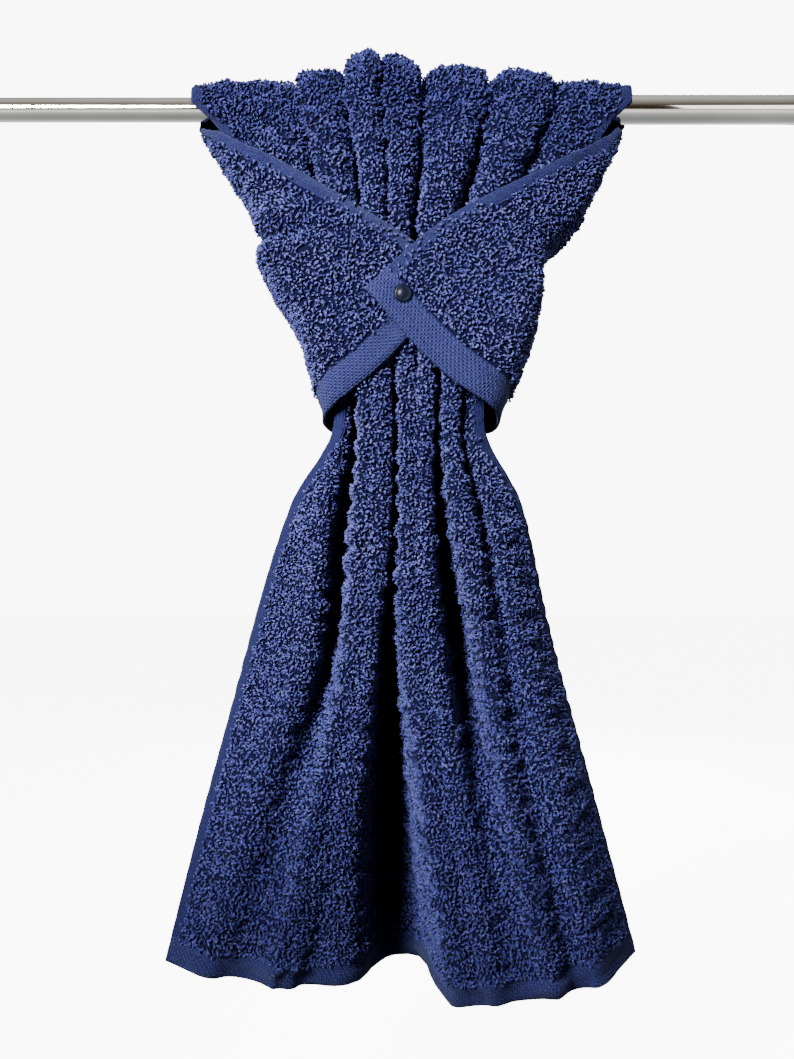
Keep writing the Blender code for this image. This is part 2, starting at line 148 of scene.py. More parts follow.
# How far each ridge's face stands in front of the floor.
RIDGE_LEVEL = (
    # edge, left fan, r1, r2, r3, r4, r5, right fan, edge
    (2.0, 3.0, 12.0, 22.0, 20.0, 12.0, 10.0, 3.0, 2.0),
    (2.0, 7.0, 17.0, 23.0, 22.0, 17.0, 15.0, 7.0, 2.0),
    (3.0, 13.0, 22.0, 25.0, 25.0, 23.0, 20.0, 13.0, 3.0),
    (12.0, 26.0, 31.0, 32.0, 32.0, 31.0, 29.0, 25.0, 13.0),
    (31.0, 38.0, 45.0, 46.0, 46.0, 45.0, 42.0, 34.0, 28.0),
    (37.0, 41.0, 50.0, 50.0, 50.0, 50.0, 46.0, 39.0, 35.0),
    (26.0, 46.0, 52.0, 52.0, 52.0, 52.0, 50.0, 46.0, 28.0),
    (22.0, 54.0, 58.0, 58.0, 60.0, 58.0, 58.0, 54.0, 24.0),
    (42.0, 62.0, 64.0, 62.0, 72.0, 70.0, 72.0, 66.0, 32.0),
    (66.0, 78.0, 78.0, 62.0, 94.0, 96.0, 98.0, 88.0, 46.0),
)

# Back panel: X of the outline where the cloth turns to the front, and Y behind and in front.
WRAP_LEVELS = (
    # drop, side_left, side_right, back, front_left, front_right
    (0.0, -140.0, 160.0, 12.4, 12.4, 12.4),
    (9.0, -138.0, 158.0, 13.0, 12.0, 12.0),
    (16.0, -134.0, 155.0, 14.0, 0.0, 0.0),
    (24.0, -129.0, 151.5, 15.0, -12.0, -12.0),
    (44.0, -117.0, 141.0, 18.0, -26.0, -26.0),
    (86.0, -93.0, 119.0, 21.0, -36.0, -36.0),
    (108.0, -92.0, 98.0, 22.0, -40.0, -40.0),
    (126.0, -85.0, 97.0, 23.0, -42.0, -42.0),
    (160.0, -65.0, 91.0, 25.0, -44.0, -44.0),
    (218.0, -49.0, 68.5, 26.0, -42.0, -43.0),
)

# Free side edge of each lapel; along is the share of the back panel's drop.
LEFT_EDGE = (
    # along, x, y, z
    (0.00, -140.0, 12.4, 0.0),
    (0.05, -135.5, 10.0, -10.5),
    (0.10, -128.0, -8.0, -17.5),
    (0.15, -120.0, -19.5, -22.0),
    (0.20, -110.5, -27.0, -29.0),
    (0.35, -78.0, -38.0, -47.0),
    (0.70, -8.0, -45.0, -90.0),
    (1.00, 41.0, -42.0, -122.0),
)
RIGHT_EDGE = (
    # along, x, y, z
    (0.00, 160.0, 12.4, 0.0),
    (0.05, 157.0, 8.0, -10.5),
    (0.10, 150.0, -8.0, -17.5),
    (0.15, 142.0, -19.5, -25.0),
    (0.20, 133.0, -27.0, -32.0),
    (0.35, 102.0, -40.0, -50.0),
    (0.70, 30.0, -49.0, -90.0),
    (1.00, -20.0, -53.0, -134.0),
)
print("cloth", TOWEL_WIDTH, "x", round(CLOTH_LENGTH, 3), "m along its groove bottoms")

# %% [markdown]
# A curve through a table must not swing past the values, or a fold would bulge between two
# levels, so each slope is the harmonic mean of its neighbours' and is flat at a turn. Rounding a
# corner with a short parabola then gives the soft ridge that a thick cloth makes.

# %% Curves through tables, and softened corners
CORNER_STEPS = 8
FIT_ROUNDS = 24
DEEPEST_FOLDS = 3.0
TINY = 1e-9


def curve_through(places, values, at):
    """Smooth, overshoot-free curve through a table's rows."""
    places = np.asarray(places, float)
    values = np.asarray(values, float)
    at = np.clip(np.atleast_1d(at), places[0], places[-1])
    step = np.diff(places)[:, None]
    slope = np.diff(values, axis=0) / step
    tangent = np.zeros_like(values)
    tangent[0] = slope[0]
    tangent[-1] = slope[-1]
    same_way = slope[:-1] * slope[1:] > 0
    mean = 2 * slope[:-1] * slope[1:] / np.where(same_way, slope[:-1] + slope[1:], 1.0)
    tangent[1:-1] = np.where(same_way, mean, 0.0)
    piece = np.clip(np.searchsorted(places, at, side="right") - 1, 0, len(places) - 2)
    width = step[piece]
    part = ((at - places[piece]) / width[:, 0])[:, None]
    return (
        (1 + 2 * part) * (1 - part) ** 2 * values[piece]
        + part * (1 - part) ** 2 * width * tangent[piece]
        + part ** 2 * (3 - 2 * part) * values[piece + 1]
        + part ** 2 * (part - 1) * width * tangent[piece + 1]
    )


def table_row(levels, table, drop):
    """One row of a table of millimetres, read at any level, in metres."""
    places = np.array([row[0] for row in levels]) * MM
    return curve_through(places, np.array(table) * MM, drop)[0]


def soften(corners, reaches):
    """Round the corners of an open path; a reach is how far the rounding runs before and after."""
    path = [corners[0]]
    for before, here, after, reach in zip(corners[:-2], corners[1:-1], corners[2:], reaches[1:-1]):
        back = before - here
        ahead = after - here
        start = here + back * min(reach[0] / max(np.linalg.norm(back), TINY), 0.5)
        end = here + ahead * min(reach[1] / max(np.linalg.norm(ahead), TINY), 0.5)
        part = np.linspace(0.0, 1.0, CORNER_STEPS + 1)[:, None]
        path.extend((1 - part) ** 2 * start + 2 * part * (1 - part) * here + part ** 2 * end)
    path.append(corners[-1])
    return np.array(path)


def lengths_along(path):
    """Distance of each point of a path from its start."""
    steps = np.linalg.norm(np.diff(path, axis=0), axis=1)
    return np.concatenate(([0.0], np.cumsum(steps)))


def smooth_share(value, end):
    """Rise from 0 to 1 between zero and an end value."""
    share = np.clip(value / end, 0.0, 1.0)
    return share * share * (3 - 2 * share)


print("curve test", curve_through([0, 1, 2], [[0], [1], [1]], 0.5).round(3).tolist())

# %% [markdown]
# Each groove is drawn with four corners: two where it opens and two at its bottom. The free
# stretches of ridge between them are then rounded wide and the bottoms tight. On the real towel
# the edges of the ridges are puckered, because the pile's ground cloth gathers where it bends,
# so the mouths of the grooves waver by a millimetre or two every 15 mm.

# %% One pleated row
RIDGE_REACH = 0.0065
GROOVE_REACH = 0.005
GROOVE_FLOOR_HALF = 0.0035
NARROW_MOUTH_HALF = 0.006
FLOOR_WIDENING = 0.4
WIDE_SOFTENING = 0.6
MOUTH_SOFTENING = 0.35
GROOVE_LEAN = (0.011, 0.011, 0.0, -0.011, -0.011, -0.011)
LEAN_ENDS_AT = 0.080
CREASED_SHARE = 0.11
CREASES_END_AT = 0.100
CREST_SLANTS = (
    # how far each ridge's left and right shoulders drop on the rail (mm), r1 to r5
    (5.0, 0.0),
    (8.0, 0.0),
    (0.0, 9.0),
    (1.0, 3.0),
    (0.0, 2.5),
)
SLANTS_END_AT = 0.075
PUCKER_DEPTH = 0.0016
PUCKER_PITCH = 0.0155
PUCKER_DRIFT = 0.083
DRIFT_TURN = 1.3
SWELL_PITCH = 0.047
SWELL_MIDDLE = 0.75
SWELL_CHANGE = 0.35
PUCKERS_START = 0.015
FULLY_PUCKERED_MOUTH = 0.004
MOST_PUCKERED = 1.3
CREST_PUCKER = 0.5

# Phases in radians that keep neighbouring puckers out of step.
DRIFT_PHASE = 2.1
SWELL_PHASE = 1.7
MOUTH_PHASE = 1.9
RIGHT_OF_MOUTH = 2.3
CREST_PHASE = 3.1
CREST_START = 0.7


def fit_to_width(make_path, drop):
    """Depth of the folds at which a row uses the towel's width."""
    width = TOWEL_WIDTH * (1 - CREASED_SHARE * (1 - smooth_share(drop, CREASES_END_AT)))
    shallow, deep = 0.0, DEEPEST_FOLDS
    for _ in range(FIT_ROUNDS):
        middle = (shallow + deep) / 2
        if lengths_along(make_path(middle))[-1] < width:
            shallow = middle
        else:
            deep = middle
    return (shallow + deep) / 2


def slant_crests(corners, drop):
    """Tilt the crests of the ridges on the rail, where they lean on each other."""
    fade = 1 - smooth_share(drop, SLANTS_END_AT)
    for ridge, (left, right) in enumerate(CREST_SLANTS):
        corners[4 + 4 * ridge, 1] -= left * MM * fade
        corners[5 + 4 * ridge, 1] -= right * MM * fade
    return corners


def fold_corners(xs, opens, bottoms, ridges, leans, left, right):
    """Corners of one pleated row as (x, height) pairs, and the reach of each."""
    corners = [(left, ridges[0])]
    reaches = [(0.0, 0.0)]
    for index, (x, half, bottom, lean) in enumerate(zip(xs, opens, bottoms, leans)):
        widening = max(half - NARROW_MOUTH_HALF, 0.0) * FLOOR_WIDENING
        floor_half = min(GROOVE_FLOOR_HALF + widening, half)
        corners += [
            (x - half, ridges[index + 1]),
            (x + lean - floor_half, bottom),
            (x + lean + floor_half, bottom),
            (x + half, ridges[index + 2]),
        ]
        wide = RIDGE_REACH + half * MOUTH_SOFTENING
        tight = GROOVE_REACH + half * WIDE_SOFTENING
        reaches += [(wide, wide), (tight, tight), (tight, tight), (wide, wide)]
    corners.append((right, ridges[-1]))
    reaches.append((0.0, 0.0))
    return np.array(corners), reaches


def pleat_leans(drop):
    """Sideways slip of each groove's bottom, which fades out below the rail."""
    return np.array(GROOVE_LEAN) * (1 - smooth_share(drop, LEAN_ENDS_AT))


def pucker(drop, phase):
    """Uneven wave, one swell every pucker pitch."""
    drift = DRIFT_TURN * math.sin(2 * math.pi * drop / PUCKER_DRIFT + DRIFT_PHASE * phase)
    wave = math.sin(2 * math.pi * drop / PUCKER_PITCH + phase + drift)
    swell = math.sin(2 * math.pi * drop / SWELL_PITCH + SWELL_PHASE * phase)
    return wave * (SWELL_MIDDLE + SWELL_CHANGE * swell)


def puckered(corners, drop, mouths):
    """The corners with the mouths of the grooves wavering along the drop."""
    moved = corners.copy()
    strength = PUCKER_DEPTH * smooth_share(drop, PUCKERS_START)
    for index, half in enumerate(mouths):
        reach = strength * min(half / FULLY_PUCKERED_MOUTH, MOST_PUCKERED)
        lift = CREST_PUCKER * strength
        moved[1 + 4 * index, 0] -= reach * pucker(drop, MOUTH_PHASE * index)
        moved[4 + 4 * index, 0] += reach * pucker(drop, MOUTH_PHASE * index + RIGHT_OF_MOUTH)
        moved[4 + 4 * index, 1] += lift * pucker(drop, CREST_PHASE * index + CREST_START)
    return moved


print("puckers at the waist", [round(pucker(0.25, MOUTH_PHASE * index), 2) for index in range(6)])

# %% [markdown]
# Columns of the mesh follow the folds, so an edge loop runs along each ridge and groove from
# the rail to the hem. That keeps the folds crisp with few faces, and it gives each point its
# place on the flat cloth, which the pile and the hems are later measured in.

# %% The front panel
FAN = (9, 6, 8)
WALL_STEPS = 5
FLOOR_STEPS = 3
RIDGE_STEPS = 6
SLANT_LIFT = 0.45
SLOPE_SAMPLES = 400


def side_slopes():
    """Running sums of the side edges' slopes, which lift the hem's corners."""
    drops = np.linspace(0.0, FRONT_DROP, SLOPE_SAMPLES)
    edges = np.array([table_row(LEVELS, LEVELS, drop)[2:4] for drop in drops])
    slopes = np.gradient(edges, drops, axis=0)
    step = drops[1] - drops[0]
    products = np.stack([slopes[:, 0] ** 2, slopes[:, 0] * slopes[:, 1], slopes[:, 1] ** 2], axis=1)
    return drops, np.cumsum(products, axis=0) * step / 2


SLANT_DROPS, SLANT_SUMS = side_slopes()


def front_path(drop):
    """One row of the front panel as (x, height) pairs, with its distances along the cloth."""
    left, right = table_row(LEVELS, LEVELS, drop)[2:4]
    mouths = table_row(LEVELS, GROOVE_OPEN, drop)
    corners, reaches = fold_corners(
        table_row(LEVELS, GROOVE_X, drop),
        mouths,
        table_row(LEVELS, GROOVE_LEVEL, drop),
        table_row(LEVELS, RIDGE_LEVEL, drop),
        pleat_leans(drop),
        left,
        right,
    )
    corners = slant_crests(corners, drop)
    depth = fit_to_width(lambda trial: soften(corners * (1.0, trial), reaches), drop)
    path = soften(puckered(corners * (1.0, depth), drop, mouths), reaches)
    along = lengths_along(path)
    return path, along * TOWEL_WIDTH / along[-1]


def fold_places(along):
    """Distance along a softened row of the middle of each of its corners."""
    first = 1 + CORNER_STEPS // 2
    return along[first :: CORNER_STEPS + 1]


def spread(places, steps):
    """Evenly share each stretch between two places."""
    parts = [np.linspace(a, b, n, endpoint=False) for a, b, n in zip(places[:-1], places[1:], steps)]
    return np.concatenate((*parts, [places[-1]]))


def front_columns(along):
    """Where the columns cross a row: on the folds' corners, and evenly between them."""
    groove = (WALL_STEPS, FLOOR_STEPS, WALL_STEPS)
    steps = [sum(FAN), *(groove + (RIDGE_STEPS,)) * 5, *groove, sum(FAN)]
    return spread(np.concatenate(([0.0], fold_places(along), [TOWEL_WIDTH])), steps)


def front_row(drop):
    """Points of the front panel at one level below the rail, and their columns."""
    _, floor, left, right = table_row(LEVELS, LEVELS, drop)
    path, along = front_path(drop)
    columns = front_columns(along)
    x = np.interp(columns, along, path[:, 0])
    height = np.interp(columns, along, path[:, 1])
    share = (x - left) / (right - left)
    sums = [np.interp(drop, SLANT_DROPS, SLANT_SUMS[:, index]) for index in range(3)]
    lift = (1 - share) ** 2 * sums[0] + 2 * share * (1 - share) * sums[1] + share ** 2 * sums[2]
    return np.stack([x, floor - height, -drop + SLANT_LIFT * lift], axis=1), columns


print("points in a row", len(front_row(0.3)[1]))

# %% [markdown]
# Behind the rail the two side edges are brought round to the front and cross under the popper,
# as lapels do. A back row is therefore one line in space: the left lapel's edge, its sagging
# middle, the turn round the side, the pleats behind, and the same again on the right.

# %% The back panel and its two lapels
SIDE_REACH = 0.011
TURN_LEAN = 0.07
LAPEL_SAG = 0.012
BACK_FLATTENS_FROM = 0.120
COLUMNS_SETTLE_BY = 0.060
TOP_POINTS, TOP_COLUMNS = front_row(0.0)


def lapel_corners(edge_table, along, side, front, back, drop, lean):
    """One lapel's row: its free edge, its sagging middle, and the two corners of the side."""
    edge = curve_through([row[0] for row in edge_table], [row[1:] for row in edge_table], along)[0] * MM
    turn_front = np.array([side, front, -drop + lean])
    turn_back = np.array([side, back, -drop - lean])
    middle = (edge + turn_front) / 2 - np.array([0.0, 0.0, LAPEL_SAG * along ** 2])
    return [edge, middle, turn_front, turn_back]


def back_path(drop):
    """One row of the back panel, with its two ends brought round to the front."""
    levels = table_row(WRAP_LEVELS, WRAP_LEVELS, drop)
    _, side_left, side_right, back, front_left, front_right = levels
    along = drop / BACK_DROP
    half_depth = (back - front_left) / 2
    lean = 2 * half_depth * TURN_LEAN
    left = lapel_corners(LEFT_EDGE, along, side_left, front_left, back, drop, lean)
    right = lapel_corners(RIGHT_EDGE, along, side_right, front_right, back, drop, lean)
    top_left, top_right = table_row(LEVELS, LEVELS, 0.0)[2:4]
    scale = (side_right - side_left) / (top_right - top_left)
    corners, reaches = fold_corners(
        (table_row(LEVELS, GROOVE_X, 0.0) - top_left) * scale + side_left,
        table_row(LEVELS, GROOVE_OPEN, 0.0),
        table_row(LEVELS, GROOVE_LEVEL, 0.0),
        table_row(LEVELS, RIDGE_LEVEL, 0.0),
        pleat_leans(drop),
        side_left,
        side_right,
    )
    corners = slant_crests(corners, drop)
    across = min(SIDE_REACH, half_depth)

    def path(depth):
        behind = np.full(len(corners) - 2, -drop - lean)
        middle = np.stack([corners[1:-1, 0], back + depth * corners[1:-1, 1], behind], axis=1)
        whole = np.vstack([left, middle, right[::-1]])
        reach = [(0.0, 0.0), (1.0, 1.0), (across, half_depth), (half_depth, across)]
        return soften(whole, reach + reaches[1:-1] + [pair[::-1] for pair in reach[::-1]])

    flattened = smooth_share(drop - BACK_FLATTENS_FROM, BACK_DROP - BACK_FLATTENS_FROM)
    line = path(fit_to_width(path, drop) * (1 - flattened))
    distance = lengths_along(line)
    return line, distance * TOWEL_WIDTH / distance[-1]


def back_row(drop):
    """Points of the back panel at one level, and their columns."""
    line, distance = back_path(drop)
    places = np.concatenate(([0.0], fold_places(distance)[1:-1], [TOWEL_WIDTH]))
    groove = (WALL_STEPS, FLOOR_STEPS, WALL_STEPS)
    steps = [*FAN, *(groove + (RIDGE_STEPS,)) * 5, *groove, *FAN[::-1]]
    share = smooth_share(drop, COLUMNS_SETTLE_BY)
    columns = TOP_COLUMNS * (1 - share) + spread(places, steps) * share
    return line_at(line, distance, columns), columns


def line_at(line, distance, places):
    """Points of a line in space at distances along it."""
    return np.stack([np.interp(places, distance, line[:, axis]) for axis in range(3)], axis=1)


def arc_row(turn):
    """Points of the cloth over the rail, turned by an angle from the front."""
    radius = -TOP_POINTS[:, 1]
    return np.stack([TOP_POINTS[:, 0], -radius * np.cos(turn), radius * np.sin(turn)], axis=1)


print("back hem", back_row(BACK_DROP)[0].round(3)[[0, -1]].tolist())

# %% [markdown]
# All rows together are the middle surface of the cloth. Each point also keeps its place on the
# flat towel: how far it is from the left side edge, and how far from the front hem.

# %% Loft the middle surface
FRONT_ROWS = 164
ARC_ROWS = 22
BACK_ROWS = 56
BACK_ROW_CROWDING = 1.2


def towel_grid():
    """Points of the cloth's middle surface, with their places on the flat towel."""
    rows = []
    for drop in np.linspace(FRONT_DROP, 0.0, FRONT_ROWS + 1):
        points, columns = front_row(drop)
        rows.append((points, columns, FRONT_DROP - drop))
    for step in range(1, ARC_ROWS):
        share = step / ARC_ROWS
        rows.append((arc_row(math.pi * share), TOP_COLUMNS, FRONT_DROP + RAIL_REACH * share))
    for drop in BACK_DROP * np.linspace(0.0, 1.0, BACK_ROWS + 1) ** BACK_ROW_CROWDING:
        points, columns = back_row(drop)
        rows.append((points, columns, FRONT_DROP + RAIL_REACH + drop))
    grid = np.array([row[0] for row in rows])
    across = np.array([row[1] for row in rows])
    along = np.array([np.full(len(row[1]), row[2]) for row in rows])
    return grid, across, along


def grid_normals(grid):
    """Unit normals of a grid of points, pointing away from the rail and the body of the cloth."""
    over = np.gradient(grid, axis=0)
    across = np.gradient(grid, axis=1)
    normal = np.cross(across, over)
    return normal / np.maximum(np.linalg.norm(normal, axis=2, keepdims=True), TINY)


middle_surface, across_cloth, along_cloth = towel_grid()
print("grid", middle_surface.shape[:2], "row length", round(lengths_along(middle_surface[40])[-1], 4))

# %% [markdown]
# ## Creases
# A towel that was folded in a cupboard keeps soft creases. The main ones are placed as troughs and
# ridges on the flat cloth, and long low ripples run across the skirt. Moving points along their
# normals is enough for these, because the deepest single crease is 6.4 mm. It has one weakness:
# nothing keeps two faces from meeting where a groove is narrow.

# %% Creases and ripples
CREASES = (
    # from_across, from_along, to_across, to_along, half_width, height (m)
    (0.078, 0.740, 0.030, 0.781, 0.0052, -0.0064),
    (0.072, 0.762, 0.030, 0.800, 0.0085, 0.0032),
    (0.070, 0.724, 0.026, 0.760, 0.0085, 0.0022),
    (0.060, 0.815, 0.020, 0.835, 0.0070, -0.0026),
    (0.468, 0.811, 0.420, 0.821, 0.0052, -0.0050),
    (0.460, 0.794, 0.415, 0.802, 0.0085, 0.0030),
    (0.432, 0.772, 0.395, 0.784, 0.0060, -0.0040),
    (0.455, 0.838, 0.415, 0.850, 0.0080, 0.0026),
    (0.015, 0.330, 0.075, 0.300, 0.0050, -0.0016),
    (0.020, 0.235, 0.110, 0.225, 0.0065, 0.0014),
    (0.060, 0.160, 0.150, 0.172, 0.0070, -0.0015),
    (0.410, 0.300, 0.485, 0.270, 0.0050, -0.0016),
    (0.395, 0.250, 0.480, 0.222, 0.0055, 0.0015),
    (0.405, 0.205, 0.487, 0.170, 0.0050, -0.0017),
    (0.400, 0.150, 0.486, 0.121, 0.0055, 0.0013),
    (0.150, 0.110, 0.215, 0.118, 0.0080, 0.0012),
    (0.330, 0.180, 0.385, 0.150, 0.0060, -0.0012),
    (0.180, 0.480, 0.235, 0.470, 0.0060, -0.0012),
    (0.290, 0.520, 0.340, 0.512, 0.0060, -0.0012),
)
RIPPLES = (
    # waves a metre across, waves a metre along, phase, height (m)
    (7.0, 41.0, 0.4, 0.00105),
    (-11.0, 58.0, 2.1, 0.00085),
    (17.0, 33.0, 4.4, 0.00045),
    (31.0, -24.0, 1.2, 0.00028),
    (-5.0, 83.0, 3.3, 0.00055),
)
RIPPLE_PATCHES = (
    # centre_across, centre_along, half_across, half_along, waves a metre across, along, height (m)
    (0.435, 0.225, 0.048, 0.110, 30.0, 84.0, 0.00340),
    (0.400, 0.110, 0.045, 0.050, 62.0, 40.0, 0.00200),
    (0.070, 0.190, 0.055, 0.080, -22.0, 62.0, 0.00150),
    (0.150, 0.130, 0.050, 0.060, 12.0, 55.0, 0.00120),
    (0.265, 0.260, 0.030, 0.110, 10.0, 66.0, 0.00100),
    (0.120, 0.330, 0.045, 0.060, 8.0, 70.0, 0.00110),
)
TOP_RIPPLES = (
    # waves a metre across, waves a metre along, phase, height (m)
    (16.0, 74.0, 0.3, 0.00085),
    (-27.0, 61.0, 2.6, 0.00075),
    (38.0, 23.0, 4.9, 0.00065),
)
TOP_MIDDLE = 0.640
TOP_REACH = 0.130
RIPPLES_FROM_EDGE = 0.035
SKIRT_ENDS = 0.380
HEM_WAVE = 0.0002
HEM_WAVE_PITCH = 0.019
HEM_WAVE_SKEW = 9.0
CREASE_END_SHARE = 0.4
RIPPLES_ABOVE_SKIRT = 0.45
SKIRT_FADE = 0.10
PATCH_BEND = 0.9
PATCH_BEND_PITCH = 0.09


def long_ripples(ripples, across, along):
    """Height of straight ripples that run over the whole flat cloth."""
    total = np.zeros_like(across)
    for waves_across, waves_along, phase, height in ripples:
        turn = 2 * math.pi * (waves_across * across + waves_along * along) + phase
        total += height * np.sin(turn)
    return total


def crease_relief(across, along):
    """Height of the creases and ripples at places on the flat cloth."""
    relief = np.zeros_like(across)
    for x0, y0, x1, y1, half_width, height in CREASES:
        run = np.array([x1 - x0, y1 - y0])
        share = ((across - x0) * run[0] + (along - y0) * run[1]) / run.dot(run)
        near = np.clip(share, 0.0, 1.0)
        gap = np.hypot(across - x0 - near * run[0], along - y0 - near * run[1])
        strength = CREASE_END_SHARE + (1 - CREASE_END_SHARE) * np.sin(math.pi * near)
        relief += height * np.exp(-((gap / half_width) ** 2)) * strength
    skirt = smooth_share(SKIRT_ENDS - along, SKIRT_FADE)
    skirt = RIPPLES_ABOVE_SKIRT + (1 - RIPPLES_ABOVE_SKIRT) * skirt
    edge = np.minimum(across, TOWEL_WIDTH - across)
    skirt *= smooth_share(edge, RIPPLES_FROM_EDGE)
    relief += skirt * long_ripples(RIPPLES, across, along)
    top = np.exp(-(((along - TOP_MIDDLE) / TOP_REACH) ** 2))
    relief += top * long_ripples(TOP_RIPPLES, across, along)
    bend = PATCH_BEND * np.sin(2 * math.pi * across / PATCH_BEND_PITCH)
    for x, y, half_x, half_y, waves_across, waves_along, height in RIPPLE_PATCHES:
        near = np.exp(-(((across - x) / half_x) ** 2) - ((along - y) / half_y) ** 2)
        turn = 2 * math.pi * (waves_across * across + waves_along * along)
        relief += height * near * np.sin(turn + bend)
    hem_turn = 2 * math.pi * along / HEM_WAVE_PITCH + HEM_WAVE_SKEW * across
    relief += HEM_WAVE * np.exp(-edge / SIDE_HEM) * np.sin(hem_turn)
    return relief


relief = crease_relief(across_cloth, along_cloth)
surface = middle_surface + grid_normals(middle_surface) * relief[..., None]
print("relief", (relief.min() / MM).round(2), "mm at the deepest")

# %% [markdown]
# ## The popper's seat
# The popper is pressed through both lapels near their corners. It pulls the pile down round it,
# so the cloth gets a dimple there, and the cap is set on the bottom of it.

# %% Seat of the popper
POPPER_ALONG = 0.93
POPPER_INSET = 0.020
DIMPLE_RADIUS = 0.0085
DIMPLE_DEPTH = 0.0010
SEAT_PROBE = 0.004


def popper_seat():
    """Centre and outward direction of the cloth under the popper."""
    drop = POPPER_ALONG * BACK_DROP
    places = TOWEL_WIDTH - POPPER_INSET + SEAT_PROBE * np.array([-1.0, 0.0, 1.0])
    here = line_at(*back_path(drop), places)
    below = line_at(*back_path(drop + SEAT_PROBE), places)[1]
    normal = np.cross(here[2] - here[0], below - here[1])
    normal /= np.linalg.norm(normal)
    return here[1], normal * -np.sign(normal[1])


seat_centre, seat_normal = popper_seat()
from_seat = np.linalg.norm(surface - seat_centre, axis=2)
surface -= seat_normal * (DIMPLE_DEPTH * np.exp(-((from_seat / DIMPLE_RADIUS) ** 2)))[..., None]
surface_normals = grid_normals(surface)
print("popper at", seat_centre.round(4).tolist(), "facing", seat_normal.round(2).tolist())

# %% [markdown]
# ## Woven ground and hems
# Under its loops a terry towel is a thin plain cloth. Along the two ends it is turned twice and
# sewn, and along the two sides it is turned once, so the hems are flat bands without loops. The
# sheet is built with that profile: full at the hems, with a nip at the stitch line, and thin
# where the pile stands on it. Both faces and a rounded rim make one closed skin.

# %% The sheet
GROUND_HALF = 0.0007
HEM_HALF = 0.0012
STITCH_NIP = 0.0004
STITCH_INSET = 0.0170
NIP_REACH = 0.002
HEM_SLOPE = 0.0025
RIM_BULGE = 0.0006


def hem_share(across, along):
    """1 on the hems and 0 on the pile, with a short slope between them."""
    end = np.minimum(along, CLOTH_LENGTH - along)
    side = np.minimum(across, TOWEL_WIDTH - across)
    on_end = 1 - smooth_share(end - END_HEM + HEM_SLOPE, HEM_SLOPE)
    on_side = 1 - smooth_share(side - SIDE_HEM + HEM_SLOPE, HEM_SLOPE)
    return np.maximum(on_end, on_side)


def half_thickness(across, along):
    """Half the cloth's thickness: ground under the pile, and a nipped hem."""
    half = GROUND_HALF + (HEM_HALF - GROUND_HALF) * hem_share(across, along)
    end = np.minimum(along, CLOTH_LENGTH - along)
    return half - STITCH_NIP * np.exp(-(((end - STITCH_INSET) / NIP_REACH) ** 2))


def grid_faces(first, rows, columns, flip=False):
    """Quads of a grid of points whose numbers start at first."""
    faces = []
    for row in range(rows - 1):
        for column in range(columns - 1):
            corner = first + row * columns + column
            quad = (corner, corner + 1, corner + columns + 1, corner + columns)
            faces.append(quad[::-1] if flip else quad)
    return faces


def rim_loop(rows, columns):
    """Numbers of the points round a grid's rim, in order."""
    bottom = list(range(columns))
    right = [row * columns + columns - 1 for row in range(1, rows)]
    top = [(rows - 1) * columns + column for column in range(columns - 2, -1, -1)]
    left = [row * columns for row in range(rows - 2, 0, -1)]
    return bottom + right + top + left


def closed_sheet(name, points, normals, half, across, along):
    """One closed mesh from a middle surface, with the flat cloth as its UV map."""
    rows, columns = points.shape[:2]
    count = rows * columns
    outer = points + normals * half[..., None]
    inner = points - normals * half[..., None]
    rim = rim_loop(rows, columns)
    flat_points = points.reshape(-1, 3)
    inward = points.copy()
    inward[:, 0], inward[:, -1] = points[:, 1], points[:, -2]
    inward[0], inward[-1] = points[1], points[-2]
    outward = flat_points - inward.reshape(-1, 3)
    outward /= np.maximum(np.linalg.norm(outward, axis=1, keepdims=True), TINY)
    bulge = (flat_points + RIM_BULGE * outward)[rim]
    vertices = np.vstack([outer.reshape(-1, 3), inner.reshape(-1, 3), bulge])
    faces = grid_faces(0, rows, columns) + grid_faces(count, rows, columns, flip=True)
    for index, point in enumerate(rim):
        following = (index + 1) % len(rim)
        here, there = 2 * count + index, 2 * count + following
        faces.append((rim[following], point, here, there))
        faces.append((there, here, count + point, count + rim[following]))
    mesh = bpy.data.meshes.new(name)
    mesh.from_pydata(vertices.tolist(), [], faces)
    mesh.validate()
    flat = np.stack([across.ravel() / TOWEL_WIDTH, along.ravel() / CLOTH_LENGTH], axis=1)
    flat = np.vstack([flat, flat, flat[rim]])
    corners = np.empty(len(mesh.loops), dtype=int)
    mesh.loops.foreach_get("vertex_index", corners)
    layer = mesh.uv_layers.new(name="flat_cloth")
    layer.data.foreach_set("uv", flat[corners].ravel())
    mesh.shade_smooth()
    return mesh


def add_object(name, mesh):
    """Link a mesh to the scene as an object."""
    item = bpy.data.objects.new(name, mesh)
    bpy.context.scene.collection.objects.link(item)
    return item


def add_piece(name, mesh, material):
    """Link a mesh as an object with one material."""
    mesh.materials.clear()
    mesh.materials.append(material)
    return add_object(name, mesh)


thickness = half_thickness(across_cloth, along_cloth)
sheet_mesh = closed_sheet(
    "terry_sheet", surface, surface_normals, thickness, across_cloth, along_cloth
)
sheet_area = sum(face.area for face in sheet_mesh.polygons) / 2
print("sheet", len(sheet_mesh.polygons), "quads,", round(sheet_area, 4), "m2")

# %% [markdown]
# ## Cloth materials
# A cotton thread scatters light softly, so both cloth materials are rough with a little sheen.
# A material has many nodes and even more links, so a small class writes them. Most of its methods
# add one node, link what goes into it and hand back what comes out.

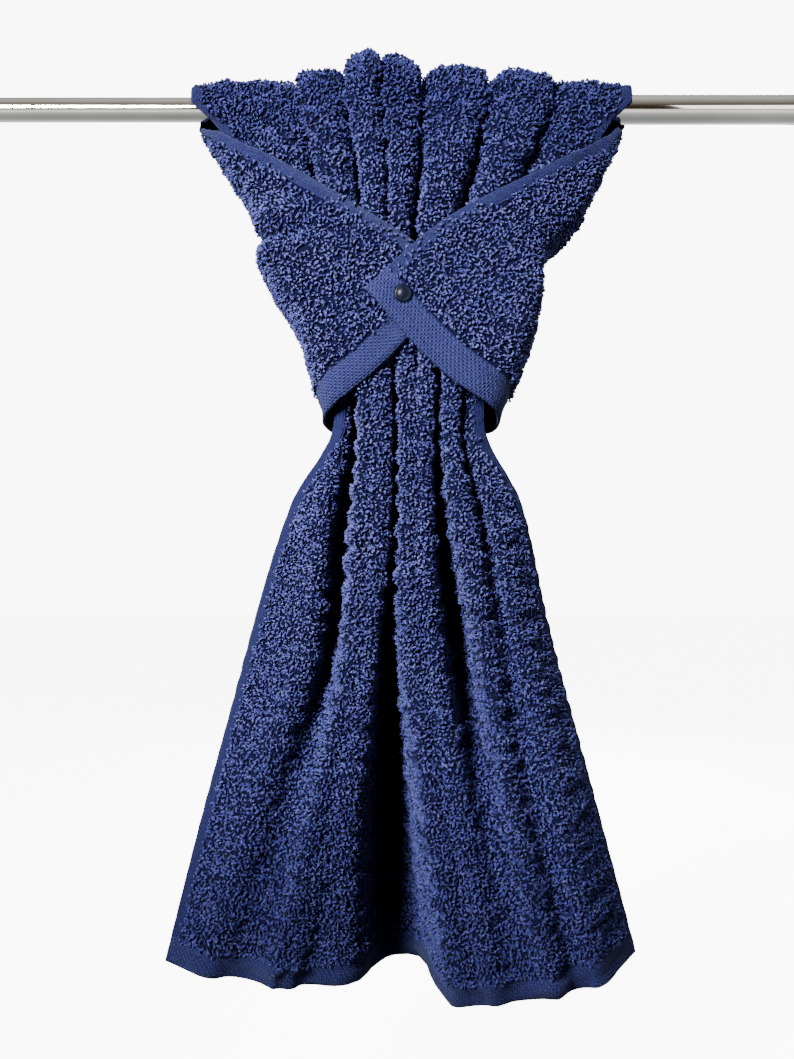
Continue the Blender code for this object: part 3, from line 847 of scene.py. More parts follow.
# %% Helpers for materials
NAVY_TIP = (0.049, 0.052, 0.140, 1.0)
NAVY_MIDDLE = (0.0125, 0.0140, 0.074, 1.0)
# The two darkest navies are painted shade, for the roots of the loops and the ground between them.
NAVY_SHADED_ROOT = (0.0002, 0.0003, 0.0080, 1.0)
NAVY_SHADED_GROUND = (0.0003, 0.0004, 0.0090, 1.0)
HEM_LIGHT = (0.0250, 0.0280, 0.0880, 1.0)
HEM_DARK = (0.0004, 0.0009, 0.0170, 1.0)
HEM_SHADED_UNTIL = 0.40
COTTON_SPECULAR = 0.06
SHEEN_TINT = (0.45, 0.52, 0.85, 1.0)


class Graph:
    """A short way to write a material's nodes."""

    def __init__(self, name):
        self.material = bpy.data.materials.new(name)
        self.material.use_nodes = True
        self.nodes = self.material.node_tree.nodes
        self.shader = self.nodes["Principled BSDF"]

    def link(self, source, target):
        self.material.node_tree.links.new(source, target)

    def add(self, kind, **settings):
        node = self.nodes.new(kind)
        for key, value in settings.items():
            setattr(node, key, value)
        return node

    def fill(self, socket, value):
        if hasattr(value, "is_output"):
            self.link(value, socket)
        else:
            socket.default_value = value

    def math(self, operation, *values):
        node = self.add("ShaderNodeMath", operation=operation)
        for socket, value in zip(node.inputs, values):
            self.fill(socket, value)
        return node.outputs[0]

    def ramp(self, value, *stops):
        """Colour ramp with (place, colour) stops."""
        node = self.add("ShaderNodeValToRGB")
        elements = node.color_ramp.elements
        while len(elements) < len(stops):
            elements.new(0.5)
        for element, (place, colour) in zip(elements, stops):
            element.position = place
            element.color = colour
        self.link(value, node.inputs[0])
        return node.outputs[0]

    def mix(self, share, first, second):
        node = self.add("ShaderNodeMix", data_type="RGBA")
        for socket, value in ((0, share), (6, first), (7, second)):
            self.fill(node.inputs[socket], value)
        return node.outputs[2]

    def step(self, value, low, high):
        """0 below low and 1 above high, smooth between."""
        node = self.add("ShaderNodeMapRange", interpolation_type="SMOOTHSTEP")
        self.link(value, node.inputs[0])
        node.inputs[1].default_value = low
        node.inputs[2].default_value = high
        return node.outputs[0]

    def noise(self, vector, scale, detail=3.0):
        node = self.add("ShaderNodeTexNoise")
        self.link(vector, node.inputs["Vector"])
        node.inputs["Scale"].default_value = scale
        node.inputs["Detail"].default_value = detail
        return node.outputs[0]

    def bump(self, height, distance, strength=1.0):
        node = self.add("ShaderNodeBump")
        node.inputs["Strength"].default_value = strength
        node.inputs["Distance"].default_value = distance
        self.link(height, node.inputs["Height"])
        self.link(node.outputs[0], self.shader.inputs["Normal"])

    def constants(self, **values):
        for key, value in values.items():
            self.shader.inputs[key.replace("_", " ")].default_value = value


def cotton(graph, sheen):
    """The soft, rough scatter of cotton thread."""
    graph.constants(Roughness=0.92, Sheen_Weight=sheen, Sheen_Roughness=0.45)
    graph.shader.inputs["Sheen Tint"].default_value = SHEEN_TINT
    graph.shader.inputs["Specular IOR Level"].default_value = COTTON_SPECULAR


print("navy from", NAVY_SHADED_ROOT[:3], "to", NAVY_TIP[:3])

# %% [markdown]
# The ground between the loops is painted nearly black blue, as painted shade. The end hems show a
# fine twill of raised dots, and the side hems small lengthwise ribs, both measured on the flat
# cloth through the UV map, so the weave follows every fold. Sines make the dots and ribs, because
# a weave is regular and they stay sharp at any size. The hems carry painted shade: darker along
# the skirt, lighter on the lapels, which face the light.

# %% Ground and hem material
DOT_PITCH = 0.0035
DOT_CONTRAST = (0.72, 0.40)
RIB_PITCH = 0.0011
RIB_CONTRAST = (0.22, 0.36)
PILE_STARTS = (-0.0006, 0.0004)
GRAIN_SCALE = 900.0
GRAIN_STRENGTH = 0.9
WORN_SCALE = 45.0
WORN_SHARE = 0.10
# Painted shade on the hems, from dark along the skirt to lit on the lapels.
HEM_SHADE_RANGE = (0.36, 0.38)
HEM_FULLY_LIT = CLOTH_LENGTH - 0.15
WEAVE_BUMP = 0.0010


def ground_material():
    """Plain ground painted nearly black as shade between the loops, with woven hems along the four
    edges.
    """
    graph = Graph("terry_ground")
    place = graph.add("ShaderNodeUVMap", uv_map="flat_cloth").outputs[0]
    parts = graph.add("ShaderNodeSeparateXYZ")
    graph.link(place, parts.inputs[0])
    across = graph.math("MULTIPLY", parts.outputs[0], TOWEL_WIDTH)
    along = graph.math("MULTIPLY", parts.outputs[1], CLOTH_LENGTH)
    side = graph.math("MINIMUM", across, graph.math("SUBTRACT", TOWEL_WIDTH, across))
    end = graph.math("MINIMUM", along, graph.math("SUBTRACT", CLOTH_LENGTH, along))
    pile_side = graph.step(side, *(SIDE_HEM + offset for offset in PILE_STARTS))
    pile_end = graph.step(end, *(END_HEM + offset for offset in PILE_STARTS))
    pile = graph.math("MULTIPLY", pile_side, pile_end)

    turn = 2 * math.pi / DOT_PITCH
    rising = graph.math("SINE", graph.math("MULTIPLY", graph.math("ADD", across, along), turn))
    falling = graph.math("SINE", graph.math("MULTIPLY", graph.math("SUBTRACT", across, along), turn))
    dots = graph.math("MULTIPLY", rising, graph.math("MULTIPLY_ADD", falling, *DOT_CONTRAST))
    dots = graph.math("MULTIPLY_ADD", dots, 0.5, 0.5)
    ribs = graph.math("SINE", graph.math("MULTIPLY", across, 2 * math.pi / RIB_PITCH))
    ribs = graph.math("MULTIPLY_ADD", ribs, *RIB_CONTRAST)
    coordinates = graph.add("ShaderNodeTexCoord").outputs["Object"]
    grain = graph.noise(coordinates, GRAIN_SCALE, 2.0)
    weave = graph.mix(pile_end, dots, ribs)
    weave = graph.math("MULTIPLY_ADD", graph.math("SUBTRACT", grain, 0.5), GRAIN_STRENGTH, weave)

    cloudy = graph.noise(coordinates, WORN_SCALE, 4.0)
    woven = graph.ramp(weave, (0.15, HEM_DARK), (0.85, HEM_LIGHT))
    # Painted shade: the hems are darker along the skirt and lighter on the lapels; real wear clouds are
    # added after.
    hem_lit = graph.step(along, HEM_SHADED_UNTIL, HEM_FULLY_LIT)
    shade_and_wear = graph.mix(graph.math("MULTIPLY_ADD", hem_lit, *HEM_SHADE_RANGE), HEM_DARK, woven)
    shade_and_wear = graph.mix(graph.math("MULTIPLY", cloudy, WORN_SHARE), shade_and_wear, HEM_LIGHT)
    # Painted shade: the ground between the loops is nearly black blue.
    under = graph.ramp(grain, (0.35, NAVY_SHADED_ROOT), (0.75, NAVY_SHADED_GROUND))
    graph.link(graph.mix(pile, shade_and_wear, under), graph.shader.inputs["Base Color"])
    relief = graph.mix(pile, weave, grain)
    graph.bump(relief, WEAVE_BUMP)
    cotton(graph, 0.04)
    return graph.material


ground = ground_material()
towel = add_piece("towel_sheet", sheet_mesh, ground)
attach(towel, "root")
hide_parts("towel")
print("ground material has", len(ground.node_tree.nodes), "nodes")

# %% [markdown]
# ## Loop material
# The loops are painted lighter at their tips than at their roots, as painted shade where little
# light reaches. Each loop carries two numbers: how lit a point on it is painted, from dark roots
# and underside to a light top, and a tone of its own. The material mixes its colours from them,
# with slow clouds where the pile was brushed one way or the other. Painted shade makes the pleats
# on the rail and the end of the skirt a little darker than the middle of the towel.

# %% Loop material
# Painted shade on the loops: darker at the end of the skirt and on the pleats near the rail.
SKIRT_SHADE_LEVELS = (-0.60, -0.28)
RAIL_SHADE_LEVELS = (-0.07, 0.02)
TONE_RANGE = (0.34, 0.70)
BRUSHED_SCALE = 28.0
BRUSHED_RANGE = (0.5, 0.75)
TWIST_SCALE = 1500.0
TWIST_STRENGTH = 0.25
SKIRT_SHADE_RANGE = (0.24, 0.76)
RAIL_SHADE_RANGE = (-0.26, 1.0)
TWIST_BUMP = 0.0002


def loop_material():
    """Navy cotton thread, with painted shade from the pale tip of each loop down to its dark root."""
    graph = Graph("terry_loops")
    tip = graph.add("ShaderNodeAttribute", attribute_name="tip").outputs["Fac"]
    tone = graph.add("ShaderNodeAttribute", attribute_name="tone").outputs["Fac"]
    coordinates = graph.add("ShaderNodeTexCoord").outputs["Object"]
    cloudy = graph.noise(coordinates, BRUSHED_SCALE)
    twist = graph.noise(coordinates, TWIST_SCALE, 2.0)
    # The tip number is painted shade on each loop: dark at its root, light on its top.
    lifted = graph.math("MULTIPLY", tip, graph.math("MULTIPLY_ADD", tone, *TONE_RANGE))
    lifted = graph.math("MULTIPLY", lifted, graph.math("MULTIPLY_ADD", cloudy, *BRUSHED_RANGE))
    lifted = graph.math("MULTIPLY_ADD", graph.math("SUBTRACT", twist, 0.5), TWIST_STRENGTH, lifted)
    parts = graph.add("ShaderNodeSeparateXYZ")
    graph.link(coordinates, parts.inputs[0])
    # Painted shade: the end of the skirt and the pleats on the rail are darkened.
    above_skirt = graph.step(parts.outputs[2], *SKIRT_SHADE_LEVELS)
    near_rail = graph.step(parts.outputs[2], *RAIL_SHADE_LEVELS)
    skirt_shade = graph.math("MULTIPLY_ADD", above_skirt, *SKIRT_SHADE_RANGE)
    rail_shade = graph.math("MULTIPLY_ADD", near_rail, *RAIL_SHADE_RANGE)
    lifted = graph.math("MULTIPLY", lifted, graph.math("MULTIPLY", skirt_shade, rail_shade))
    colour = graph.ramp(lifted, (0.05, NAVY_SHADED_ROOT), (0.5, NAVY_MIDDLE), (0.95, NAVY_TIP))
    graph.link(colour, graph.shader.inputs["Base Color"])
    graph.bump(twist, TWIST_BUMP, 0.5)
    cotton(graph, 0.06)
    return graph.material


loops_material = loop_material()
print("loop material has", len(loops_material.node_tree.nodes), "nodes")

# %% [markdown]
# ## The pile
# A terry loop is a short bend of thread that leaves the ground cloth and comes back a few
# millimetres on. Seen from outside it is a small bent stroke. One such loop is drawn as a bent
# thread of eight triangles, and Geometry Nodes sets tens of thousands of them on the cloth:
# points spread at an even distance, each with its own turn, lean and size. Bump alone would
# leave the outline of the towel smooth, and the fuzzy outline is what says terry.

# %% One loop
LOOP_LENGTH = 0.0038
LOOP_HEIGHT = 0.0026
LOOP_HALF_WIDTH = 0.00074
LOOP_HALF_THREAD = 0.00080
LOOP_ROOT = -0.0004
# Painted shade on each loop: its sides and underside are darker than its top.
SIDE_LIT_SHARE = 0.74
UNDER_LIT_SHARE = 0.3


def loop_object():
    """One bent thread, lying along X and standing along Z."""
    waist = LOOP_HEIGHT - LOOP_HALF_THREAD
    points = [
        (-LOOP_LENGTH / 2, 0.0, LOOP_ROOT),
        (0.0, -LOOP_HALF_WIDTH, waist),
        (0.0, 0.0, waist + LOOP_HALF_THREAD),
        (0.0, LOOP_HALF_WIDTH, waist),
        (0.0, 0.0, waist - LOOP_HALF_THREAD),
        (LOOP_LENGTH / 2, 0.0, LOOP_ROOT),
    ]
    faces = []
    for corner in range(4):
        here, there = 1 + corner, 1 + (corner + 1) % 4
        faces += [(0, here, there), (5, there, here)]
    mesh = bpy.data.meshes.new("loop")
    mesh.from_pydata(points, [], faces)
    mesh.shade_smooth()
    # These numbers are painted shade: 0 at the roots, lower on the sides and underside, 1 on top.
    lit_shares = mesh.attributes.new("tip", "FLOAT", "POINT")
    lit_shares.data.foreach_set("value", [0.0, SIDE_LIT_SHARE, 1.0, SIDE_LIT_SHARE, UNDER_LIT_SHARE, 0.0])
    return add_object("loop", mesh)


loop = loop_object()
LOOP_TRIANGLES = len(loop.data.polygons)
print("one loop has", LOOP_TRIANGLES, "triangles")

# %% [markdown]
# The tree spreads points on the cloth with a least distance between them, turns and leans each
# one by chance, and sets a loop of chance size on it. Each loop gets a tone of its own before
# the loops are made real. The distance, lean, sizes and seed are inputs, so that one tree
# serves every patch of cloth.

# %% The node tree that scatters the loops
TONE_SEED = 7


def new_tree(name, inputs):
    """Geometry node tree with named inputs, and the identifier of each."""
    tree = bpy.data.node_groups.new(name, "GeometryNodeTree")
    tree.interface.new_socket("Geometry", in_out="INPUT", socket_type="NodeSocketGeometry")
    names = {}
    for label, kind in inputs:
        names[label] = tree.interface.new_socket(label, in_out="INPUT", socket_type=kind).identifier
    tree.interface.new_socket("Geometry", in_out="OUTPUT", socket_type="NodeSocketGeometry")
    return tree, names, tree.nodes.new("NodeGroupInput"), tree.nodes.new("NodeGroupOutput")


def scatter_tree():
    """Loops on a surface: evenly spaced, each turned, leaned and sized by chance."""
    tree, names, start, finish = new_tree(
        "scatter_loops",
        (
            ("Loop", "NodeSocketObject"),
            ("Spacing", "NodeSocketFloat"),
            ("Density", "NodeSocketFloat"),
            ("Lean", "NodeSocketFloat"),
            ("Smallest", "NodeSocketFloat"),
            ("Largest", "NodeSocketFloat"),
            ("Seed", "NodeSocketInt"),
            ("Finish", "NodeSocketMaterial"),
        ),
    )
    nodes, link = tree.nodes, tree.links.new
    share = nodes.new("GeometryNodeInputNamedAttribute")
    share.data_type = "FLOAT"
    share.inputs["Name"].default_value = "pile"
    points = nodes.new("GeometryNodeDistributePointsOnFaces")
    points.distribute_method = "POISSON"
    link(start.outputs["Geometry"], points.inputs["Mesh"])
    link(start.outputs["Spacing"], points.inputs["Distance Min"])
    link(start.outputs["Density"], points.inputs["Density Max"])
    link(share.outputs["Attribute"], points.inputs["Density Factor"])
    link(start.outputs["Seed"], points.inputs["Seed"])

    lean = nodes.new("ShaderNodeMath")
    lean.operation = "MULTIPLY"
    lean.inputs[1].default_value = -1.0
    link(start.outputs["Lean"], lean.inputs[0])
    least = nodes.new("ShaderNodeCombineXYZ")
    most = nodes.new("ShaderNodeCombineXYZ")
    for axis in ("X", "Y"):
        link(lean.outputs[0], least.inputs[axis])
        link(start.outputs["Lean"], most.inputs[axis])
    most.inputs["Z"].default_value = 2 * math.pi
    turn = nodes.new("FunctionNodeRandomValue")
    turn.data_type = "FLOAT_VECTOR"
    link(least.outputs[0], turn.inputs[0])
    link(most.outputs[0], turn.inputs[1])
    link(start.outputs["Seed"], turn.inputs["Seed"])
    turned = nodes.new("FunctionNodeRotateRotation")
    turned.rotation_space = "LOCAL"
    to_rotation = nodes.new("FunctionNodeEulerToRotation")
    link(turn.outputs[0], to_rotation.inputs[0])
    link(points.outputs["Rotation"], turned.inputs[0])
    link(to_rotation.outputs[0], turned.inputs[1])

    size = nodes.new("FunctionNodeRandomValue")
    size.data_type = "FLOAT"
    link(start.outputs["Smallest"], size.inputs[2])
    link(start.outputs["Largest"], size.inputs[3])
    link(start.outputs["Seed"], size.inputs["Seed"])

    source = nodes.new("GeometryNodeObjectInfo")
    source.inputs["As Instance"].default_value = True
    link(start.outputs["Loop"], source.inputs["Object"])
    placed = nodes.new("GeometryNodeInstanceOnPoints")
    link(points.outputs["Points"], placed.inputs["Points"])
    link(source.outputs["Geometry"], placed.inputs["Instance"])
    link(turned.outputs[0], placed.inputs["Rotation"])
    link(size.outputs[1], placed.inputs["Scale"])

    tone = nodes.new("FunctionNodeRandomValue")
    tone.data_type = "FLOAT"
    tone.inputs["Seed"].default_value = TONE_SEED
    stored = nodes.new("GeometryNodeStoreNamedAttribute")
    stored.data_type = "FLOAT"
    stored.domain = "INSTANCE"
    stored.inputs["Name"].default_value = "tone"
    link(placed.outputs[0], stored.inputs["Geometry"])
    link(tone.outputs[1], stored.inputs["Value"])
    real = nodes.new("GeometryNodeRealizeInstances")
    link(stored.outputs[0], real.inputs[0])
    finished = nodes.new("GeometryNodeSetMaterial")
    link(real.outputs[0], finished.inputs["Geometry"])
    link(start.outputs["Finish"], finished.inputs["Material"])
    link(finished.outputs[0], finish.inputs["Geometry"])
    return tree, names


LOOP_TREE, LOOP_INPUTS = scatter_tree()
print("scatter tree has", len(LOOP_TREE.nodes), "nodes and the inputs", list(LOOP_INPUTS))

# %% [markdown]
# The tree runs on one patch of cloth at a time, so that each piece stays light. A patch is the
# outer or the inner face of some rows and columns of the grid, with a number at every point that
# says whether pile grows there: none on the hems, round the popper or deep under the lapels.

# %% Grow the pile
LOOP_SPACING = 0.00164
LOOP_DENSITY = 560000.0
INSIDE_SPACING = 0.00200
INSIDE_DENSITY = 200000.0
LOOP_LEAN = 0.62
LOOP_SIZES = (0.70, 1.50)
BALD_AT_POPPER = 0.0047
HIDDEN_BELOW_EDGE = 0.014
HIDDEN_UNTIL = -0.150
ROWS, COLUMNS = surface.shape[:2]
RAIL_ROW = FRONT_ROWS
HALF_WAY = COLUMNS // 2
SKIRT_ROW = 84
INSIDE_ROW = 108

PILE_PATCHES = (
    # name, first row, last row, first column, last column, side, seed
    ("pile_skirt_left", 0, SKIRT_ROW, 0, HALF_WAY, 1, 11),
    ("pile_skirt_right", 0, SKIRT_ROW, HALF_WAY, COLUMNS - 1, 1, 12),
    ("pile_front_top", SKIRT_ROW, RAIL_ROW, 0, COLUMNS - 1, 1, 13),
    ("pile_over_rail", RAIL_ROW, ROWS - 1, 0, HALF_WAY, 1, 14),
    ("pile_over_rail_right", RAIL_ROW, ROWS - 1, HALF_WAY, COLUMNS - 1, 1, 16),
    ("pile_inside", 0, INSIDE_ROW, 0, COLUMNS - 1, -1, 15),
)


def evaluated_mesh(item):
    """The item's mesh with its modifiers applied, as a plain mesh."""
    graph = bpy.context.evaluated_depsgraph_get()
    return bpy.data.meshes.new_from_object(item.evaluated_get(graph), depsgraph=graph)


def remove(*items):
    """Take helper objects out of the scene."""
    for item in items:
        bpy.data.objects.remove(item, do_unlink=True)


def under_lapels(points):
    """True where the front panel is hidden under the crossed lapels."""
    x, z = points[..., 0], points[..., 2]
    tops = []
    for table in (LEFT_EDGE, sorted(RIGHT_EDGE, key=lambda row: row[1])):
        tops.append(np.interp(x, [row[1] * MM for row in table], [row[3] * MM for row in table]))
    return (z < np.maximum(*tops) - HIDDEN_BELOW_EDGE) & (z > HIDDEN_UNTIL)


def patch_object(name, rows, columns, side):
    """One face of part of the cloth, with the share of pile at each point."""
    part = (slice(rows[0], rows[1] + 1), slice(columns[0], columns[1] + 1))
    half = thickness[part][..., None]
    points = surface[part] + side * surface_normals[part] * half
    mesh = bpy.data.meshes.new(name)
    faces = grid_faces(0, *points.shape[:2], flip=side < 0)
    mesh.from_pydata(points.reshape(-1, 3).tolist(), [], faces)
    share = 1 - hem_share(across_cloth[part], along_cloth[part])
    share *= np.linalg.norm(points - seat_centre, axis=2) > BALD_AT_POPPER
    if rows[1] <= RAIL_ROW:
        share *= ~under_lapels(points)
    grown = mesh.attributes.new("pile", "FLOAT", "POINT")
    grown.data.foreach_set("value", (share.ravel() > 0.5).astype(float))
    return add_object(name, mesh)


def grow(name, rows, columns, side, seed):
    """Loops over one patch, as one plain mesh."""
    patch = patch_object(name + "_patch", rows, columns, side)
    growth = patch.modifiers.new("loops", "NODES")
    growth.node_group = LOOP_TREE
    settings = {
        "Loop": loop,
        "Spacing": LOOP_SPACING if side > 0 else INSIDE_SPACING,
        "Density": LOOP_DENSITY if side > 0 else INSIDE_DENSITY,
        "Lean": LOOP_LEAN,
        "Smallest": LOOP_SIZES[0],
        "Largest": LOOP_SIZES[1],
        "Seed": seed,
        "Finish": loops_material,
    }
    for label, value in settings.items():
        growth[LOOP_INPUTS[label]] = value
    mesh = evaluated_mesh(patch)
    remove(patch)
    piece = add_piece(name, mesh, loops_material)
    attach(piece, "root")
    return piece


for name, row0, row1, column0, column1, side, seed in PILE_PATCHES:
    piece = grow(name, (row0, row1), (column0, column1), side, seed)
    triangles = sum(len(face.vertices) - 2 for face in piece.data.polygons)
    print(name, triangles // LOOP_TRIANGLES, "loops,", triangles, "triangles")
remove(loop)

# %% [markdown]
# ## Stitches
# The end hems are held by a straight row of lockstitch, which shows on both faces as short
# capsules of thread in the nip. A path is laid in the nip of each face, Curve to Points sets a
# point every stitch, and one small stitch is placed on each.

# %% Stitch tree and rows
STITCH_PITCH = 0.0030
STITCH_LENGTH = 0.0023
STITCH_RADIUS = 0.00032
STITCH_SIDES = 5
THREAD_TWIST_SCALE = 2600.0
THREAD_BUMP = 0.0001
STITCH_PROFILE = (
    # place along the stitch, in its lengths, and radius, in its radii
    (-0.5, 0.0),
    (-0.3, 0.95),
    (0.3, 0.95),
    (0.5, 0.0),
)


def stitch_object():
    """One stitch: a short thread, thick in its middle, along Z."""
    profile = [(x * STITCH_LENGTH, radius * STITCH_RADIUS) for x, radius in STITCH_PROFILE]
    item = turned_piece("stitch", profile, STITCH_SIDES)
    item.data.transform(Matrix.Rotation(-math.pi / 2, 4, "Y"))
    return item


def turned_piece(name, profile, sides, finish=None):
    """A closed solid turned round X from (x, radius) pairs that start and end on the axis."""
    points = [(profile[0][0], 0.0, 0.0)]
    for x, radius in profile[1:-1]:
        for side in range(sides):
            angle = 2 * math.pi * side / sides
            points.append((x, radius * math.cos(angle), radius * math.sin(angle)))
    points.append((profile[-1][0], 0.0, 0.0))
    faces = [(0, 1 + (side + 1) % sides, 1 + side) for side in range(sides)]
    for ring in range(len(profile) - 3):
        for side in range(sides):
            here, there = 1 + ring * sides + side, 1 + ring * sides + (side + 1) % sides
            faces.append((here, there, there + sides, here + sides))
    last = 1 + (len(profile) - 3) * sides
    faces += [(last + side, last + (side + 1) % sides, len(points) - 1) for side in range(sides)]
    mesh = bpy.data.meshes.new(name)
    mesh.from_pydata(points, [], faces)
    mesh.shade_smooth()
    if finish:
        mesh.materials.append(finish)
    return add_object(name, mesh)


def stitch_tree():
    """Stitches along a path, one every pitch, laid along it."""
    tree, names, start, finish = new_tree(
        "row_of_stitches",
        (("Stitch", "NodeSocketObject"), ("Pitch", "NodeSocketFloat"), ("Finish", "NodeSocketMaterial")),
    )
    nodes, link = tree.nodes, tree.links.new
    path = nodes.new("GeometryNodeMeshToCurve")
    link(start.outputs["Geometry"], path.inputs[0])
    points = nodes.new("GeometryNodeCurveToPoints")
    points.mode = "LENGTH"
    link(path.outputs[0], points.inputs["Curve"])
    link(start.outputs["Pitch"], points.inputs["Length"])
    source = nodes.new("GeometryNodeObjectInfo")
    source.inputs["As Instance"].default_value = True
    link(start.outputs["Stitch"], source.inputs["Object"])
    placed = nodes.new("GeometryNodeInstanceOnPoints")
    link(points.outputs["Points"], placed.inputs["Points"])
    link(source.outputs["Geometry"], placed.inputs["Instance"])
    link(points.outputs["Rotation"], placed.inputs["Rotation"])
    real = nodes.new("GeometryNodeRealizeInstances")
    link(placed.outputs[0], real.inputs[0])
    finished = nodes.new("GeometryNodeSetMaterial")
    link(real.outputs[0], finished.inputs["Geometry"])
    link(start.outputs["Finish"], finished.inputs["Material"])
    link(finished.outputs[0], finish.inputs["Geometry"])
    return tree, names


def thread_material():
    """Sewing thread: navy, smoother than the pile, with its twist as bump."""
    graph = Graph("sewing_thread")
    coordinates = graph.add("ShaderNodeTexCoord").outputs["Object"]
    twist = graph.noise(coordinates, THREAD_TWIST_SCALE, 2.0)
    graph.link(graph.ramp(twist, (0.3, HEM_DARK), (0.7, HEM_LIGHT)), graph.shader.inputs["Base Color"])
    graph.bump(twist, THREAD_BUMP, 0.6)
    cotton(graph, 0.05)
    graph.constants(Roughness=0.85)
    return graph.material


def hem_line(along, side):
    """Points in the nip of a hem, on one face, from side edge to side edge."""
    points = []
    for column in range(COLUMNS):
        level = along_cloth[:, column]
        skin = surface[:, column] + side * surface_normals[:, column] * thickness[:, column, None]
        points.append([np.interp(along, level, skin[:, axis]) for axis in range(3)])
    return np.array(points)


thread = thread_material()
stitch = stitch_object()
STITCH_TREE, STITCH_INPUTS = stitch_tree()
lines, edges = [], []
for along in (STITCH_INSET, CLOTH_LENGTH - STITCH_INSET):
    for side in (1, -1):
        first = len(lines)
        lines.extend(hem_line(along, side))
        edges += [(index, index + 1) for index in range(first, len(lines) - 1)]
paths = bpy.data.meshes.new("stitch_paths")
paths.from_pydata([tuple(point) for point in lines], edges, [])
rows_of_thread = add_object("stitch_paths", paths)
sewing = rows_of_thread.modifiers.new("stitches", "NODES")
sewing.node_group = STITCH_TREE
for label, value in (("Stitch", stitch), ("Pitch", STITCH_PITCH), ("Finish", thread)):
    sewing[STITCH_INPUTS[label]] = value
stitches = add_piece("hem_stitches", evaluated_mesh(rows_of_thread), thread)
remove(rows_of_thread, stitch)
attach(stitches, "root")
print("stitches", len(stitches.data.polygons), "faces")

# %% [markdown]
# ## Rail
# Both tubes are drawn steel with a chrome plate, one sliding in the other. Chrome is almost a
# mirror, so its look is what it reflects. The material only adds the faint wiping marks along
# the tube and a little warmth, and the smooth, finely divided turning keeps reflections straight.

# %% Tubes
RAIL_HALF_LENGTH = 0.330
RAIL_THIN_RADIUS = 0.0082
RAIL_THICK_RADIUS = 0.0100
RAIL_STEP_X = 0.012
RAIL_SOCKET_DEPTH = 0.045
SLIDE_GAP = 0.0003
EDGE_ROUND = 0.0008
EDGE_STEPS = 4
RAIL_SIDES = 96
WIPING_STRETCH = (18.0, 320.0, 320.0)
CHROME_DULL = (0.70, 0.68, 0.64, 1.0)
CHROME_BRIGHT = (0.80, 0.785, 0.755, 1.0)
CHROME_ROUGHNESS = (0.06, 0.02)
CHROME_CLOUD_SCALE = 22.0
WIPING_BUMP = 0.00003
SHARP_EDGE_DEGREES = 50


def chrome_material():
    """Polished plate with faint wiping marks."""
    graph = Graph("chrome_plate")
    coordinates = graph.add("ShaderNodeTexCoord").outputs["Object"]
    stretched = graph.add("ShaderNodeMapping")
    stretched.inputs["Scale"].default_value = WIPING_STRETCH
    graph.link(coordinates, stretched.inputs["Vector"])
    marks = graph.noise(stretched.outputs[0], 1.0, 4.0)
    cloud = graph.noise(coordinates, CHROME_CLOUD_SCALE)
    colour = graph.ramp(cloud, (0.3, CHROME_DULL), (0.7, CHROME_BRIGHT))
    graph.link(colour, graph.shader.inputs["Base Color"])
    rough = graph.math("MULTIPLY_ADD", marks, *CHROME_ROUGHNESS)
    graph.link(rough, graph.shader.inputs["Roughness"])
    graph.constants(Metallic=1.0)
    graph.bump(marks, WIPING_BUMP, 0.15)
    return graph.material


def rounded_end(x, radius, way):
    """Profile points of a tube's rounded edge at an end that faces way along X."""
    points = []
    for step in range(EDGE_STEPS + 1):
        angle = math.pi / 2 * step / EDGE_STEPS
        across = EDGE_ROUND * (1 - math.sin(angle))
        points.append((x - way * across, radius - EDGE_ROUND * (1 - math.cos(angle))))
    return points


def tube_piece(name, profile, node):
    """One tube of the rail, in place of its solid."""
    piece = turned_piece(name, profile, RAIL_SIDES, chrome)
    piece.data.set_sharp_from_angle(angle=math.radians(SHARP_EDGE_DEGREES))
    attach(piece, "root")
    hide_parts(node)
    return piece


chrome = chrome_material()
socket_end = RAIL_STEP_X + RAIL_SOCKET_DEPTH
bore = RAIL_THIN_RADIUS + SLIDE_GAP
thin_profile = [(-RAIL_HALF_LENGTH, 0.0)]
thin_profile += rounded_end(-RAIL_HALF_LENGTH, RAIL_THIN_RADIUS, -1)[::-1]
thin_profile += [(socket_end - SLIDE_GAP, RAIL_THIN_RADIUS), (socket_end - SLIDE_GAP, 0.0)]
thick_profile = [(socket_end, 0.0), (socket_end, bore), (RAIL_STEP_X, bore)]
thick_profile += rounded_end(RAIL_STEP_X, RAIL_THICK_RADIUS, -1)[::-1]
thick_profile += [*rounded_end(RAIL_HALF_LENGTH, RAIL_THICK_RADIUS, 1), (RAIL_HALF_LENGTH, 0.0)]
thin_tube = tube_piece("thin_tube", thin_profile, "rail_thin")
thick_tube = tube_piece("thick_tube", thick_profile, "rail_thick")
diameters = [round(2 * radius / MM, 1) for radius in (RAIL_THIN_RADIUS, RAIL_THICK_RADIUS)]
print("tubes", diameters, "mm across")

# %% [markdown]
# ## Popper
# The popper's cap is a small turned dome of glossy plastic with a raised rim and a shallow
# hollow in its middle. It is turned from one profile, like the tubes, then set on its seat.

# %% Popper cap
CAP_PROFILE = (
    # height, radius (m)
    (-0.0012, 0.0),
    (-0.0012, 0.0052),
    (-0.0004, 0.0060),
    (0.0006, 0.0061),
    (0.0013, 0.0058),
    (0.0018, 0.0052),
    (0.0019, 0.0046),
    (0.0017, 0.0041),
    (0.0018, 0.0034),
    (0.0022, 0.0024),
    (0.0024, 0.0014),
    (0.0025, 0.0006),
    (0.0025, 0.0),
)
CAP_SIDES = 64
CAP_LIFT = 0.0004
CAP_DARK = (0.0006, 0.0012, 0.0045, 1.0)
CAP_SCRATCHED = (0.0018, 0.0034, 0.0090, 1.0)
CAP_ROUGHNESS = (0.24, 0.22)
CAP_SPECULAR = 0.09
SCRATCH_SCALE = 420.0
SCRATCH_BUMP = 0.00004


